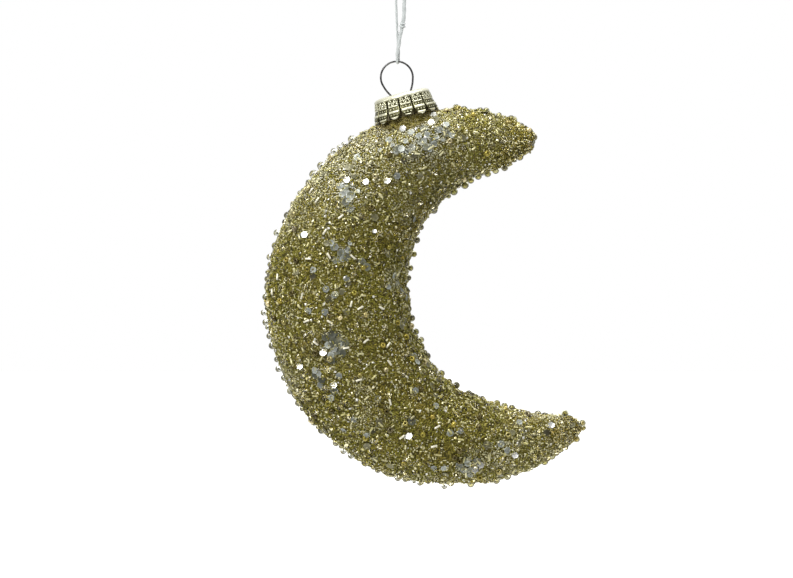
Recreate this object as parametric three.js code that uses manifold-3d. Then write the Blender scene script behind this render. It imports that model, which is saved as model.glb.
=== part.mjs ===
// Crescent moon hanging ornament: a blown glass moon under a crust of glitter,
// beads and sequins, a pressed metal crown cap, a sprung wire hanger and a
// knotted loop of string. Millimetres, +Z up, +X to the right, front faces -Y.
// The origin is the inside of the string loop's arch, where a hook holds it.
import * as THREE from "three";
import { mergeVertices } from "three/addons/utils/BufferGeometryUtils.js";
import Module from "manifold-3d";

// ---------------------------------------------------------------- dimensions
// Moon, in the XZ plane, as one circle with a second one taken out of it.
const MOON_CENTRE = [16.35, -104.76];
const MOON_RADIUS = 57.9;
const BAY_CENTRE = [39.94, -101.52];
const BAY_RADIUS = 38.4;
// Each horn: direction from the moon's centre, distance of its tip from there,
// the length over which it rounds off, and over which its middle line bends.
const UPPER_HORN = { angle: 62.7, tip: 53.8, round: 8.0, bend: 8.0 };
const LOWER_HORN = { angle: 316.8, tip: 56.4, round: 27.0, bend: 24.0 };
// Front to back over thickness: the horns are round, the middle is flatter.
const HORN_ROUNDNESS = 1.04;
const MIDDLE_ROUNDNESS = 0.87;
const MIDDLE_WIDTH = 21.5;
const COAT = 1.0; // crust of glue, glitter and beads
const CLEARANCE = 0.35;
const GLASS_HORN = 1.9; // the blown wall is thickest in the narrow horns
const GLASS_MIDDLE = 0.75;
const STATIONS = 38;
const AROUND = 20;

// Neck, cap and hanger share one axis, through the moon's centre.
const NECK_TILT = 14.2; // degrees to the left of straight up
const NECK_RADIUS = 7.7;
const NECK_BORE = 6.8;
const CAP_BOTTOM = 58.7; // distances along the axis, from the moon's centre
const CAP_HEIGHT = 7.0;
const CAP_SHEET = 0.4;
const CAP_SHOULDER_RADIUS = 8.75;
const CAP_SKIRT_RADIUS = 10.25;
const PETALS = 14;
const FIRST_SLIT = -9.2; // degrees from the front
const WIRE_RADIUS = 0.3;
const WIRE_HOLE_RADIUS = 0.65;
const WIRE_HOLE_OFFSET = 3.0;
const RING_RADIUS = 5.0; // over its round top, to the middle of the wire
const RING_HEIGHT = 5.24; // of the ring's centre over the cap

// String: its two strands and the bight that holds the ring.
const STRING_RADIUS = 0.45;
const BIGHT_X = -0.95;
const BIGHT_RADIUS = 1.05;
const SWAY_Z = -28.7; // where the string bends sideways over the ring
const TURN_Z = -10.3; // where the arch ends and the strands start
const KNOT = [0.72, 0, -19.64];
const KNOT_RADII = [1.0, 0.95, 1.25];

const SEQUIN_RADIUS = 1.15;
const SEQUIN_THICKNESS = 0.25;
const BEAD_RADIUS = 0.95;

// ------------------------------------------------------------------- helpers
const wasm = await Module();
wasm.setup();

function solid(geometry) {
  const bare = new THREE.BufferGeometry();
  bare.setAttribute("position", geometry.getAttribute("position").clone());
  const count = bare.getAttribute("position").count;
  bare.setIndex(geometry.index ? geometry.index.clone() : [...Array(count).keys()]);
  const merged = mergeVertices(bare, 1e-4);
  const triangles = [];
  const index = merged.index.array;
  for (let i = 0; i < index.length; i += 3) {
    const [a, b, c] = [index[i], index[i + 1], index[i + 2]];
    if (a !== b && b !== c && c !== a) triangles.push(a, b, c);
  }
  return new wasm.Manifold(
    new wasm.Mesh({
      numProp: 3,
      vertProperties: new Float32Array(merged.getAttribute("position").array),
      triVerts: new Uint32Array(triangles),
    }),
  );
}

function geometryOf(manifold) {
  const mesh = manifold.getMesh();
  const geometry = new THREE.BufferGeometry();
  const positions = new Float32Array((mesh.vertProperties.length / mesh.numProp) * 3);
  for (let i = 0; i < positions.length / 3; i += 1) {
    for (let k = 0; k < 3; k += 1) positions[3 * i + k] = mesh.vertProperties[mesh.numProp * i + k];
  }
  geometry.setAttribute("position", new THREE.BufferAttribute(positions, 3));
  geometry.setIndex([...mesh.triVerts]);
  geometry.computeVertexNormals();
  return geometry;
}

const rad = THREE.MathUtils.degToRad;
const tilt = rad(NECK_TILT);
const axis = new THREE.Vector3(-Math.sin(tilt), 0, Math.cos(tilt));
const across = new THREE.Vector3(Math.cos(tilt), 0, Math.sin(tilt));
const centre = new THREE.Vector3(MOON_CENTRE[0], 0, MOON_CENTRE[1]);

// A point of the neck's frame: x across it, y front to back, s along the axis.
function neckPoint(x, y, s) {
  return centre
    .clone()
    .addScaledVector(across, x)
    .addScaledVector(axis, s)
    .add(new THREE.Vector3(0, y, 0));
}

// Turns a geometry built along its own +Z into the neck's frame, at distance s.
function onNeck(geometry, s) {
  geometry.rotateY(-tilt);
  const foot = neckPoint(0, 0, s);
  return geometry.translate(foot.x, foot.y, foot.z);
}

// A cylinder along the neck's axis, from s0 to s1.
function neckCylinder(radius, s0, s1, segments = 40, x = 0) {
  const cylinder = new THREE.CylinderGeometry(radius, radius, s1 - s0, segments);
  cylinder.rotateX(Math.PI / 2);
  cylinder.translate(x, 0, (s1 - s0) / 2);
  return solid(onNeck(cylinder, s0));
}

// --------------------------------------------------------------------- moon
// The section of the moon at an angle from its centre: where its middle lies,
// and its half width in the XZ plane and half depth along Y. inset shrinks the
// whole body by that much on every side, and wall takes the glass off as well.
const bayOffset = new THREE.Vector2(BAY_CENTRE[0] - MOON_CENTRE[0], BAY_CENTRE[1] - MOON_CENTRE[1]);

function hornAngles(inset) {
  return [rad(UPPER_HORN.angle) + inset / UPPER_HORN.tip, rad(LOWER_HORN.angle) - inset / LOWER_HORN.tip];
}

function section(angle, inset, wall = false) {
  const turned = angle - bayOffset.angle();
  const distance = bayOffset.length();
  const bay = BAY_RADIUS + inset;
  const inner =
    distance * Math.cos(turned) +
    Math.sqrt(Math.max(bay * bay - (distance * Math.sin(turned)) ** 2, 0));
  const outer = MOON_RADIUS - inset;
  let middle = (outer + inner) / 2;
  let width = (outer - inner) / 2;
  const share = Math.min((width + inset) / MIDDLE_WIDTH, 1);
  let depth = (HORN_ROUNDNESS + (MIDDLE_ROUNDNESS - HORN_ROUNDNESS) * share) * (width + inset) - inset;
  const glass = wall ? GLASS_HORN + (GLASS_MIDDLE - GLASS_HORN) * share : 0;
  width -= glass;
  depth -= glass;
  const [first, last] = hornAngles(inset + (wall ? GLASS_HORN : 0));
  for (const [way, horn] of [
    [(angle - first) * UPPER_HORN.tip, UPPER_HORN],
    [(last - angle) * LOWER_HORN.tip, LOWER_HORN],
  ]) {
    const u = THREE.MathUtils.clamp(way / horn.round, 0, 1);
    const full = Math.sqrt(1 - (1 - u) ** 2);
    width *= full;
    depth *= full;
    const bend = (1 - THREE.MathUtils.clamp(way / horn.bend, 0, 1)) ** 2;
    middle = middle * (1 - bend) + horn.tip * bend;
  }
  return { middle, width, depth };
}

// A sphere's poles go to the horn tips and its parallels to the sections.
function moonBody(inset, wall = false) {
  const ball = new THREE.SphereGeometry(1, AROUND, STATIONS);
  const position = ball.getAttribute("position");
  const [first, last] = hornAngles(inset + (wall ? GLASS_HORN : 0));
  const row = AROUND + 1;
  for (let i = 0; i < position.count; i += 1) {
    const v = Math.floor(i / row) / STATIONS;
    const u = (i % row) / AROUND;
    const even = 0.35 * v + 0.65 * (1 - Math.cos(Math.PI * v)) * 0.5;
    const angle = first + (last - first) * even;
    const { middle, width, depth } = section(angle, inset, wall);
    const turn = 2 * Math.PI * (u % 1);
    const radius = middle + width * Math.cos(turn);
    position.setXYZ(
      i,
      centre.x + radius * Math.cos(angle),
      -depth * Math.sin(turn),
      centre.z + radius * Math.sin(angle),
    );
  }
  return solid(ball);
}

// The crust's front (or back) surface over a point of the XZ plane, and its
// outward direction there.
function onCrust(x, z, back = false) {
  const at = (px, pz) => {
    const angle = (Math.atan2(pz - centre.z, px - centre.x) + 2 * Math.PI) % (2 * Math.PI);
    const { middle, width, depth } = section(angle, 0);
    const side = (Math.hypot(px - centre.x, pz - centre.z) - middle) / width;
    return -depth * Math.sqrt(Math.max(1 - side * side, 0)) * (back ? -1 : 1);
  };
  const step = 0.05;
  const y = at(x, z);
  const dx = (at(x + step, z) - at(x - step, z)) / (2 * step);
  const dz = (at(x, z + step) - at(x, z - step)) / (2 * step);
  const normal = new THREE.Vector3(dx, -1, dz).normalize();
  if (back) normal.set(-dx, 1, -dz).normalize();
  return { point: new THREE.Vector3(x, y, z), normal };
}

const inCoat = COAT;
const inGlass = COAT + CLEARANCE;
const neckTop = CAP_BOTTOM + CAP_HEIGHT - CAP_SHEET - CLEARANCE;

const glassMoon = moonBody(inGlass)
  .add(neckCylinder(NECK_RADIUS, 48, neckTop))
  .subtract(moonBody(inGlass, true))
  .subtract(neckCylinder(NECK_BORE, 46, neckTop + 2));

const beadCoat = moonBody(0)
  .subtract(moonBody(inCoat))
  .subtract(neckCylinder(NECK_RADIUS + CLEARANCE, 48, 62));

// ---------------------------------------------------------------- crown cap
function capBlank() {
  const t = CAP_SHEET;
  const top = CAP_HEIGHT;
  const r = CAP_SHOULDER_RADIUS;
  const R = CAP_SKIRT_RADIUS;
  const profile = [
    [0, top - t],
    [r - 1.0, top - t],
    [r - 0.55, top - 0.75],
    [r - 0.42, top - 1.4],
    [r + 0.1, top / 2 - 0.4],
    [R - t, 0.7],
    [R - t + 0.12, 0],
    [R + 0.12, 0],
    [R, 0.8],
    [r + 0.5, top / 2 - 0.4],
    [r, top - 1.4],
    [r - 0.12, top - 0.75],
    [r - 0.75, top],
    [0, top],
  ].map(([x, y]) => new THREE.Vector2(x, y));
  const blank = new THREE.LatheGeometry(profile, PETALS * 4);
  blank.rotateX(Math.PI / 2); // the lathe's axis, +Y, becomes +Z
  return solid(onNeck(blank, CAP_BOTTOM));
}

// One slit with the arched notch between two petal tips, cut outwards.
function slitCutter(azimuth) {
  const outline = [
    [-1.15, -1],
    [1.15, -1],
    [1.0, 0.25],
    [0.62, 0.95],
    [0.18, 1.35],
    [0.18, 5.0],
    [-0.18, 5.0],
    [-0.18, 1.35],
    [-0.62, 0.95],
    [-1.0, 0.25],
  ].map(([x, y]) => new THREE.Vector2(x, y));
  const bar = new THREE.ExtrudeGeometry(new THREE.Shape(outline), { depth: 4, bevelEnabled: false });
  bar.rotateX(Math.PI / 2); // up becomes +Z, and the bar runs towards -Y
  bar.translate(0, -8.0, 0);
  bar.rotateZ(rad(azimuth));
  return solid(onNeck(bar, CAP_BOTTOM));
}

let crownCap = capBlank();
for (let k = 0; k < PETALS; k += 1) {
  crownCap = crownCap.subtract(slitCutter(FIRST_SLIT + (360 / PETALS) * k));
}
for (const side of [-1, 1]) {
  crownCap = crownCap.subtract(
    neckCylinder(WIRE_HOLE_RADIUS, CAP_BOTTOM + CAP_HEIGHT - 2, CAP_BOTTOM + CAP_HEIGHT + 1, 12, side * WIRE_HOLE_OFFSET),
  );
}

// -------------------------------------------------------------- wire and cord
function tube(points, radius, sides, steps) {
  const curve = new THREE.CatmullRomCurve3(points, false, "centripetal");
  const outline = new THREE.Shape();
  for (let k = 0; k < sides; k += 1) {
    const turn = (2 * Math.PI * (k + 0.5)) / sides;
    const r = radius / Math.cos(Math.PI / sides) ** 0.5;
    if (k === 0) outline.moveTo(r * Math.cos(turn), r * Math.sin(turn));
    else outline.lineTo(r * Math.cos(turn), r * Math.sin(turn));
  }
  outline.closePath();
  return new THREE.ExtrudeGeometry(outline, { steps, extrudePath: curve, bevelEnabled: false, curveSegments: 1 });
}

// One wire: a sprung leg, the ring, and the other leg.
const capTop = CAP_BOTTOM + CAP_HEIGHT;
const ringCentre = capTop + RING_HEIGHT;
const leg = [
  [4.0, ringCentre - 26.4],
  [5.35, ringCentre - 22.5],
  [5.85, ringCentre - 17.5],
  [5.3, ringCentre - 12.0],
  [3.9, ringCentre - 8.6],
  [3.05, ringCentre - 7.0],
  [3.0, ringCentre - 5.6],
  [3.1, ringCentre - 5.0],
  [3.55, ringCentre - 4.0],
  [4.2, ringCentre - 2.75],
];
// The ring is round over the top, and its lower sides run straight to the cap.
const wirePath = leg.map(([x, s]) => neckPoint(-x, 0, s));
for (let turn = 200; turn >= -20; turn -= 20) {
  wirePath.push(
    neckPoint(RING_RADIUS * Math.cos(rad(turn)), 0, ringCentre + RING_RADIUS * Math.sin(rad(turn))),
  );
}
for (const [x, s] of [...leg].reverse()) wirePath.push(neckPoint(x, 0, s));

// The string's line, from the knot down its front strand, round the ring and
// back up behind it, then over the hook and down to the knot again.
const wireTopZ = centre.z + axis.z * ringCentre + RING_RADIUS;
const V = (x, y, z) => new THREE.Vector3(x, y, z);
const strings = {
  string_arch: [
    V(-1.44, 0, TURN_Z + 0.15),
    V(-1.75, 0, -7.4),
    V(-2.05, 0, -4.2),
    V(-1.95, 0, -1.7),
    V(-1.25, 0, -0.15),
    V(0, 0, STRING_RADIUS),
    V(1.25, 0, -0.15),
    V(1.95, 0, -1.7),
    V(2.05, 0, -4.2),
    V(1.75, 0, -7.4),
    V(1.36, 0, TURN_Z + 0.15),
  ],
  string_left_strand: [
    V(-1.42, 0, TURN_Z - 0.15),
    V(-1.31, 0.05, -11.85),
    V(-1.1, 0.25, -17.5),
    V(-0.9, 0.5, -22.76),
    V(BIGHT_X, 0.72, -26.2),
    V(BIGHT_X, 0.85, SWAY_Z + 0.2),
  ],
  string_right_strand_upper: [
    V(1.34, 0, TURN_Z - 0.15),
    V(1.25, 0, -11.85),
    V(1.18, 0, -16.5),
    V(1.0, 0, KNOT[2] + KNOT_RADII[2] + 0.3),
  ],
  string_right_strand_lower: [
    V(0.45, -0.1, KNOT[2] - KNOT_RADII[2] - 0.3),
    V(0.1, -0.25, -22.6),
    V(-0.35, -0.5, -24.4),
    V(-0.75, -0.72, -26.6),
    V(BIGHT_X, -0.85, SWAY_Z + 0.2),
  ],
};
const bight = [V(BIGHT_X, -0.88, SWAY_Z - 0.2), V(BIGHT_X, -1.0, SWAY_Z - 1.2)];
for (let turn = 180; turn <= 360; turn += 30) {
  bight.push(
    V(BIGHT_X, BIGHT_RADIUS * Math.cos(rad(turn)), wireTopZ + BIGHT_RADIUS * Math.sin(rad(turn))),
  );
}
bight.push(V(BIGHT_X, 1.0, SWAY_Z - 1.2), V(BIGHT_X, 0.88, SWAY_Z - 0.2));

// ------------------------------------------------------------- larger trim
// Places in the XZ plane of the largest loose sequins and of the round beads
// that stand at the moon's edge.
const FRONT_SEQUINS = [
  [1.3, -52.4], [9.6, -50.6], [-16.4, -68.2], [-4.3, -68.4], [-29.4, -85.1],
  [4.4, -80.2], [-16.2, -89.8], [-3.2, -101.0], [-21.8, -102.4], [-23.6, -121.8],
  [-30.6, -125.6], [-20.4, -131.6], [4.6, -123.0], [2.8, -147.6], [-17.2, -145.6],
  [15.6, -146.8], [24.8, -156.4], [35.6, -153.6], [46.6, -144.9],
];
const BACK_SEQUINS = [
  [6.0, -58.0], [-14.0, -72.0], [-26.0, -94.0], [-8.0, -106.0], [-24.0, -124.0],
  [-2.0, -140.0], [20.0, -152.0], [40.0, -148.0],
];
const EDGE_BEADS = [
  [18.6, -46.2], [25.2, -47.0], [36.4, -50.4], [49.9, -140.6], [57.2, -144.2],
];

function sequin(x, z, back) {
  const { point, normal } = onCrust(x, z, back);
  const plate = new THREE.CylinderGeometry(SEQUIN_RADIUS, SEQUIN_RADIUS, SEQUIN_THICKNESS, 6);
  const turn = new THREE.Quaternion().setFromUnitVectors(new THREE.Vector3(0, 1, 0), normal);
  plate.applyQuaternion(turn);
  const lift = 0.42 + SEQUIN_THICKNESS / 2;
  plate.translate(
    point.x + normal.x * lift,
    point.y + normal.y * lift,
    point.z + normal.z * lift,
  );
  return plate;
}

// A round bead on the edge of the crust, on the line from the nearer arc's
// centre through (x, z).
function edgeBead(x, z) {
  const angle = (Math.atan2(z - centre.z, x - centre.x) + 2 * Math.PI) % (2 * Math.PI);
  const { middle, width } = section(angle, 0);
  const away = Math.hypot(x - centre.x, z - centre.z) > middle ? 1 : -1;
  const radius = middle + away * (width + CLEARANCE + BEAD_RADIUS);
  const ball = new THREE.SphereGeometry(BEAD_RADIUS, 10, 6);
  return ball.translate(
    centre.x + radius * Math.cos(angle),
    0,
    centre.z + radius * Math.sin(angle),
  );
}

// ------------------------------------------------------------------ assembly
const looks = {
  glass: new THREE.MeshStandardMaterial({ color: 0xb9a46a, roughness: 0.08, metalness: 0.0 }),
  crust: new THREE.MeshStandardMaterial({ color: 0x8f8442, roughness: 0.35, metalness: 0.6 }),
  cap: new THREE.MeshStandardMaterial({ color: 0xd9bd6a, roughness: 0.22, metalness: 1.0 }),
  wire: new THREE.MeshStandardMaterial({ color: 0x55534c, roughness: 0.35, metalness: 1.0 }),
  string: new THREE.MeshStandardMaterial({ color: 0xd0d6d0, roughness: 0.8, metalness: 0.0 }),
  sequin: new THREE.MeshStandardMaterial({ color: 0xc9ced4, roughness: 0.15, metalness: 1.0 }),
  bead: new THREE.MeshStandardMaterial({ color: 0xe6dcb4, roughness: 0.08, metalness: 0.1 }),
};

function piece(name, geometry, material) {
  if (!geometry.getAttribute("normal")) geometry.computeVertexNormals();
  const mesh = new THREE.Mesh(geometry, material);
  mesh.name = name;
  return mesh;
}

const ornament = new THREE.Group();

const moon = new THREE.Group();
moon.add(piece("glass_moon", geometryOf(glassMoon), looks.glass));
moon.add(piece("bead_coat", geometryOf(beadCoat), looks.crust));
const number = (i) => String(i + 1).padStart(2, "0");
FRONT_SEQUINS.forEach(([x, z], i) => {
  moon.add(piece(`sequin_front_${number(i)}`, sequin(x, z, false), looks.sequin));
});
BACK_SEQUINS.forEach(([x, z], i) => {
  moon.add(piece(`sequin_back_${number(i)}`, sequin(x, z, true), looks.sequin));
});
EDGE_BEADS.forEach(([x, z], i) => {
  moon.add(piece(`edge_bead_${number(i)}`, edgeBead(x, z), looks.bead));
});
ornament.add(moon);

const fitting = new THREE.Group();
fitting.add(piece("crown_cap", geometryOf(crownCap), looks.cap));
fitting.add(piece("wire_hanger", tube(wirePath, WIRE_RADIUS, 8, 96), looks.wire));
ornament.add(fitting);

const loop = new THREE.Group();
const stringSteps = {
  string_arch: 22,
  string_left_strand: 10,
  string_right_strand_upper: 5,
  string_right_strand_lower: 6,
};
for (const [name, points] of Object.entries(strings)) {
  loop.add(piece(name, tube(points, STRING_RADIUS, 8, stringSteps[name]), looks.string));
}
loop.add(piece("string_bight", tube(bight, STRING_RADIUS, 8, 14), looks.string));
const knot = new THREE.SphereGeometry(1, 12, 8);
knot.rotateX(Math.PI / 2);
knot.scale(...KNOT_RADII);
knot.translate(...KNOT);
loop.add(piece("string_knot", knot, looks.string));
ornament.add(loop);

export default ornament;
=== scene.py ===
import math

import bmesh
import bpy
import numpy as np
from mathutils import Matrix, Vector, noise


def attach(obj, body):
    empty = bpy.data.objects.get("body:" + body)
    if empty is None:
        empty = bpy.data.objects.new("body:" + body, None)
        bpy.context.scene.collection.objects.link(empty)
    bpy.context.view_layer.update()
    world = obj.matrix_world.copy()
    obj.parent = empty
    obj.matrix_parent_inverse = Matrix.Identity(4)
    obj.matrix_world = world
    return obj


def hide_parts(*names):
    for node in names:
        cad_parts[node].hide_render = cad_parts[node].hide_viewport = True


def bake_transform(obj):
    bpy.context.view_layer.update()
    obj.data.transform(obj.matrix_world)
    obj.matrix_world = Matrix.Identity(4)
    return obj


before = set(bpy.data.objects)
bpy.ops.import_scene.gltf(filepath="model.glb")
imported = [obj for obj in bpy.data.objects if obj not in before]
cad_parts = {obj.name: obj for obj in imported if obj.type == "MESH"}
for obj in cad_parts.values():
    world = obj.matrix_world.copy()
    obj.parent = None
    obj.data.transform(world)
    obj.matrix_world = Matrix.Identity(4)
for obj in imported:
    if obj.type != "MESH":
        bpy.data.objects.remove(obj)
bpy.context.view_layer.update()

scene = bpy.context.scene
MM = 0.001

# ------------------------------------------------------------------- camera
PX_PER_MM = 3.208
VIEW_X, VIEW_Z, VIEW_BACK = -1.153, -101.93, 1500.0
camera_data = bpy.data.cameras.new("camera")
camera_data.sensor_width = 36.0
camera_data.lens = 36.0 * VIEW_BACK / (793 / PX_PER_MM)
camera_data.clip_start, camera_data.clip_end = 0.05, 60.0
camera = bpy.data.objects.new("camera", camera_data)
camera.location = (VIEW_X * MM, -VIEW_BACK * MM, VIEW_Z * MM)
camera.rotation_euler = (math.pi / 2, 0, 0)
scene.collection.objects.link(camera)
scene.camera = camera


# ---------------------------------------------------------------- mesh tools
def mesh_object(name, points, faces, smooth=True):
    """A mesh from points in millimetres and faces as tuples, or as an (n, k) array."""
    me = bpy.data.meshes.new(name)
    points = np.asarray(points, float) * MM
    if isinstance(faces, np.ndarray):
        n, k = faces.shape
        me.vertices.add(len(points))
        me.vertices.foreach_set("co", points.astype(np.float32).ravel())
        me.loops.add(n * k)
        me.loops.foreach_set("vertex_index", faces.astype(np.int32).ravel())
        me.polygons.add(n)
        me.polygons.foreach_set("loop_start", np.arange(0, n * k, k, dtype=np.int32))
        me.update(calc_edges=True)
    else:
        me.from_pydata([tuple(p) for p in points], [], [tuple(f) for f in faces])
    me.validate()
    me.polygons.foreach_set("use_smooth", [bool(smooth)] * len(me.polygons))
    o = bpy.data.objects.new(name, me)
    scene.collection.objects.link(o)
    return o


def applied(o):
    """The object with its modifiers applied."""
    graph = bpy.context.evaluated_depsgraph_get()
    me = bpy.data.meshes.new_from_object(o.evaluated_get(graph))
    old = o.data
    o.modifiers.clear()
    o.data = me
    bpy.data.meshes.remove(old)
    return o


def catmull(points, steps):
    """Points along a centripetal Catmull-Rom curve, evenly spaced, with their tangents."""
    p = np.asarray(points, float)
    p = np.vstack([2 * p[0] - p[1], p, 2 * p[-1] - p[-2]])
    out = []
    for i in range(1, len(p) - 2):
        p0, p1, p2, p3 = p[i - 1 : i + 3]
        t0 = 0.0
        t1 = t0 + max(np.linalg.norm(p1 - p0), 1e-9) ** 0.5
        t2 = t1 + max(np.linalg.norm(p2 - p1), 1e-9) ** 0.5
        t3 = t2 + max(np.linalg.norm(p3 - p2), 1e-9) ** 0.5
        for t in np.linspace(t1, t2, 24, endpoint=False):
            a1 = (t1 - t) / (t1 - t0) * p0 + (t - t0) / (t1 - t0) * p1
            a2 = (t2 - t) / (t2 - t1) * p1 + (t - t1) / (t2 - t1) * p2
            a3 = (t3 - t) / (t3 - t2) * p2 + (t - t2) / (t3 - t2) * p3
            b1 = (t2 - t) / (t2 - t0) * a1 + (t - t0) / (t2 - t0) * a2
            b2 = (t3 - t) / (t3 - t1) * a2 + (t - t1) / (t3 - t1) * a3
            out.append((t2 - t) / (t2 - t1) * b1 + (t - t1) / (t2 - t1) * b2)
    out.append(p[-2])
    out = np.array(out)
    way = np.concatenate([[0], np.cumsum(np.linalg.norm(np.diff(out, axis=0), axis=1))])
    at = np.linspace(0, way[-1], steps)
    line = np.stack([np.interp(at, way, out[:, k]) for k in range(3)], 1)
    tangent = np.gradient(line, axis=0)
    tangent /= np.linalg.norm(tangent, axis=1)[:, None]
    return line, tangent, at


def frames_along(tangent, first):
    """Side directions that turn as little as possible along a line."""
    sides = [first - tangent[0] * (first @ tangent[0])]
    sides[0] /= np.linalg.norm(sides[0])
    for t in tangent[1:]:
        s = sides[-1] - t * (sides[-1] @ t)
        sides.append(s / np.linalg.norm(s))
    sides = np.array(sides)
    return sides, np.cross(tangent, sides)


def tube(name, line, side, other, outline, closed_ends=True):
    """A tube whose cross-section at each point is outline(i) -> (k, 2), in millimetres."""
    rings = []
    for i in range(len(line)):
        xy = outline(i)
        rings.append(line[i] + xy[:, :1] * side[i] + xy[:, 1:] * other[i])
    k = len(rings[0])
    points = np.concatenate(rings)
    faces = []
    for i in range(len(line) - 1):
        for j in range(k):
            a, b = i * k + j, i * k + (j + 1) % k
            faces.append((a, b, b + k, a + k))
    if closed_ends:
        faces.append(tuple(range(k))[::-1])
        faces.append(tuple((len(line) - 1) * k + j for j in range(k)))
    return mesh_object(name, points, faces)


# ------------------------------------------------------------ material tools
class Shader:
    """A material and short ways to add nodes to it."""

    def __init__(self, name, **values):
        self.mat = bpy.data.materials.new(name)
        self.mat.use_nodes = True
        self.nodes = self.mat.node_tree.nodes
        self.links = self.mat.node_tree.links
        self.main = next(n for n in self.nodes if n.type == "BSDF_PRINCIPLED")
        for key, value in values.items():
            self.main.inputs[key.replace("_", " ").title().replace("Ior", "IOR")].default_value = value

    def node(self, kind, links=None, settings=None, **values):
        n = self.nodes.new(kind)
        for key, value in (settings or {}).items():
            setattr(n, key, value)
        for key, value in values.items():
            n.inputs[key.replace("_", " ")].default_value = value
        for key, socket in (links or {}).items():
            self.links.new(socket, n.inputs[key])
        return n

    def ramp(self, socket, stops, interpolation="LINEAR"):
        n = self.node("ShaderNodeValToRGB", {"Fac": socket})
        n.color_ramp.interpolation = interpolation
        while len(n.color_ramp.elements) < len(stops):
            n.color_ramp.elements.new(0.5)
        for e, (at, colour) in zip(n.color_ramp.elements, stops):
            e.position = at
            e.color = (*colour, 1.0)
        return n.outputs["Color"]

    def mix(self, fac, a, b, blend="MIX"):
        n = self.nodes.new("ShaderNodeMix")
        n.data_type = "RGBA"
        n.blend_type = blend
        sockets = [n.inputs[0], n.inputs[6], n.inputs[7]]
        for s, value in zip(sockets, (fac, a, b)):
            if isinstance(value, (int, float)):
                s.default_value = value
            elif isinstance(value, tuple):
                s.default_value = (*value, 1.0)
            else:
                self.links.new(value, s)
        return n.outputs[2]

    def math(self, operation, a, b=0.5):
        n = self.nodes.new("ShaderNodeMath")
        n.operation = operation
        for s, value in zip(n.inputs, (a, b)):
            if isinstance(value, (int, float)):
                s.default_value = value
            else:
                self.links.new(value, s)
        return n.outputs[0]

    def place(self):
        return self.node("ShaderNodeTexCoord").outputs["Object"]

    def noise(self, scale, detail=3.0, roughness=0.55, place=None):
        return self.node(
            "ShaderNodeTexNoise", {"Vector": place or self.place()},
            Scale=scale, Detail=detail, Roughness=roughness,
        )

    def voronoi(self, scale, feature="F1", place=None):
        return self.node(
            "ShaderNodeTexVoronoi", {"Vector": place or self.place()},
            {"feature": feature}, Scale=scale,
        )

    def attribute(self, name):
        return self.node("ShaderNodeAttribute", settings={"attribute_name": name})

    def bump(self, height, strength, distance):
        n = self.node("ShaderNodeBump", {"Height": height}, Strength=strength, Distance=distance)
        self.links.new(n.outputs["Normal"], self.main.inputs["Normal"])

    def colour(self, socket):
        self.links.new(socket, self.main.inputs["Base Color"])

    def rough(self, socket):
        self.links.new(socket, self.main.inputs["Roughness"])


# -------------------------------------------------------------------- string
# The route of the doubled string, from the bend over the ring up the left
# strand, over the hook, and down through the knot to the ring again.
JOIN_Z = -27.4
LOOP_ROUTE = [
    (-0.53, 0.58, JOIN_Z), (-0.66, 0.54, -26.2), (-0.88, 0.42, -22.76), (-1.1, 0.22, -17.5),
    (-1.31, 0.05, -11.85), (-1.42, 0, -10.45), (-1.75, 0, -7.4), (-2.05, 0, -4.2),
    (-1.95, 0, -1.7), (-1.25, 0, -0.15), (0, 0, 0.45), (1.25, 0, -0.15), (1.95, 0, -1.7),
    (2.05, 0, -4.2), (1.75, 0, -7.4), (1.34, 0, -10.45), (1.25, 0, -11.85), (1.18, 0, -16.5),
    (1.0, 0, -18.09), (0.72, 0, -19.64), (0.45, -0.1, -21.19), (-0.03, -0.25, -22.9),
    (-0.22, -0.38, -24.4), (-0.55, -0.54, -26.6), (-0.70, -0.57, JOIN_Z),
]
BIGHT_ROUTE = (
    [(-0.70, -0.57, JOIN_Z), (-0.84, -0.58, -28.3), (-0.93, -0.59, -29.2), (-0.98, -0.60, -30.1)]
    + [
        (-0.96 + (a - 180) / 180 * 0.48, 0.59 * math.cos(math.radians(a)), -30.99 + 0.59 * math.sin(math.radians(a)))
        for a in range(180, 361, 30)
    ]
    + [(-0.46, 0.60, -30.1), (-0.46, 0.59, -29.2), (-0.48, 0.585, -28.3), (-0.53, 0.58, JOIN_Z)]
)
STRING_WIDE, STRING_THIN = 1.12, 0.62


def thread_outline(way, wide, thin, plies=3, pitch=2.6, around=18):
    """A flattened thread of twisted plies, seen across, at a distance along it."""
    turn = np.arange(around) * 2 * math.pi / around
    lobes = 1 + 0.09 * np.cos(plies * (turn - 2 * math.pi * way / pitch / plies * 1.0))
    fray = 1 + 0.03 * np.sin(9 * turn + 7.3 * way) * math.cos(2.1 * way)
    return np.stack([wide / 2 * np.cos(turn) * lobes * fray, thin / 2 * np.sin(turn) * lobes * fray], 1)


def string_piece(name, route, steps, wide_at):
    line, tangent, way = catmull(route, steps)
    side, other = frames_along(tangent, np.array([1.0, 0.0, 0.0]))

    def outline(i):
        wide, thin = wide_at(line[i], way[i])
        return thread_outline(way[i], wide, thin)

    return tube(name, line, side, other, outline), line


def loop_width(p, way):
    # The strand with the knot shows its broad side, the other one its edge.
    front = np.clip((p[0] + 0.2) / 0.9, 0, 1) if p[2] > -21 else 1.0
    above = 1.0 if p[2] > -18.3 else 0.82
    if way < 20:
        front = 0.0
    wide = 0.66 + (STRING_WIDE - 0.66) * front * above
    return wide * (1 + 0.05 * math.sin(1.7 * way)), STRING_THIN + 0.1 * (1 - front)


def bight_width(p, way):
    # Pressed flatter where it lies on the wire.
    down = np.clip((-28.2 - p[2]) / 2.0, 0, 1)
    wide = 1.05 if p[1] < 0 else 0.8
    return wide + (0.74 - wide) * down, (0.62 if p[1] < 0 else 0.72) * (1 - down) + 0.46 * down


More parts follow.
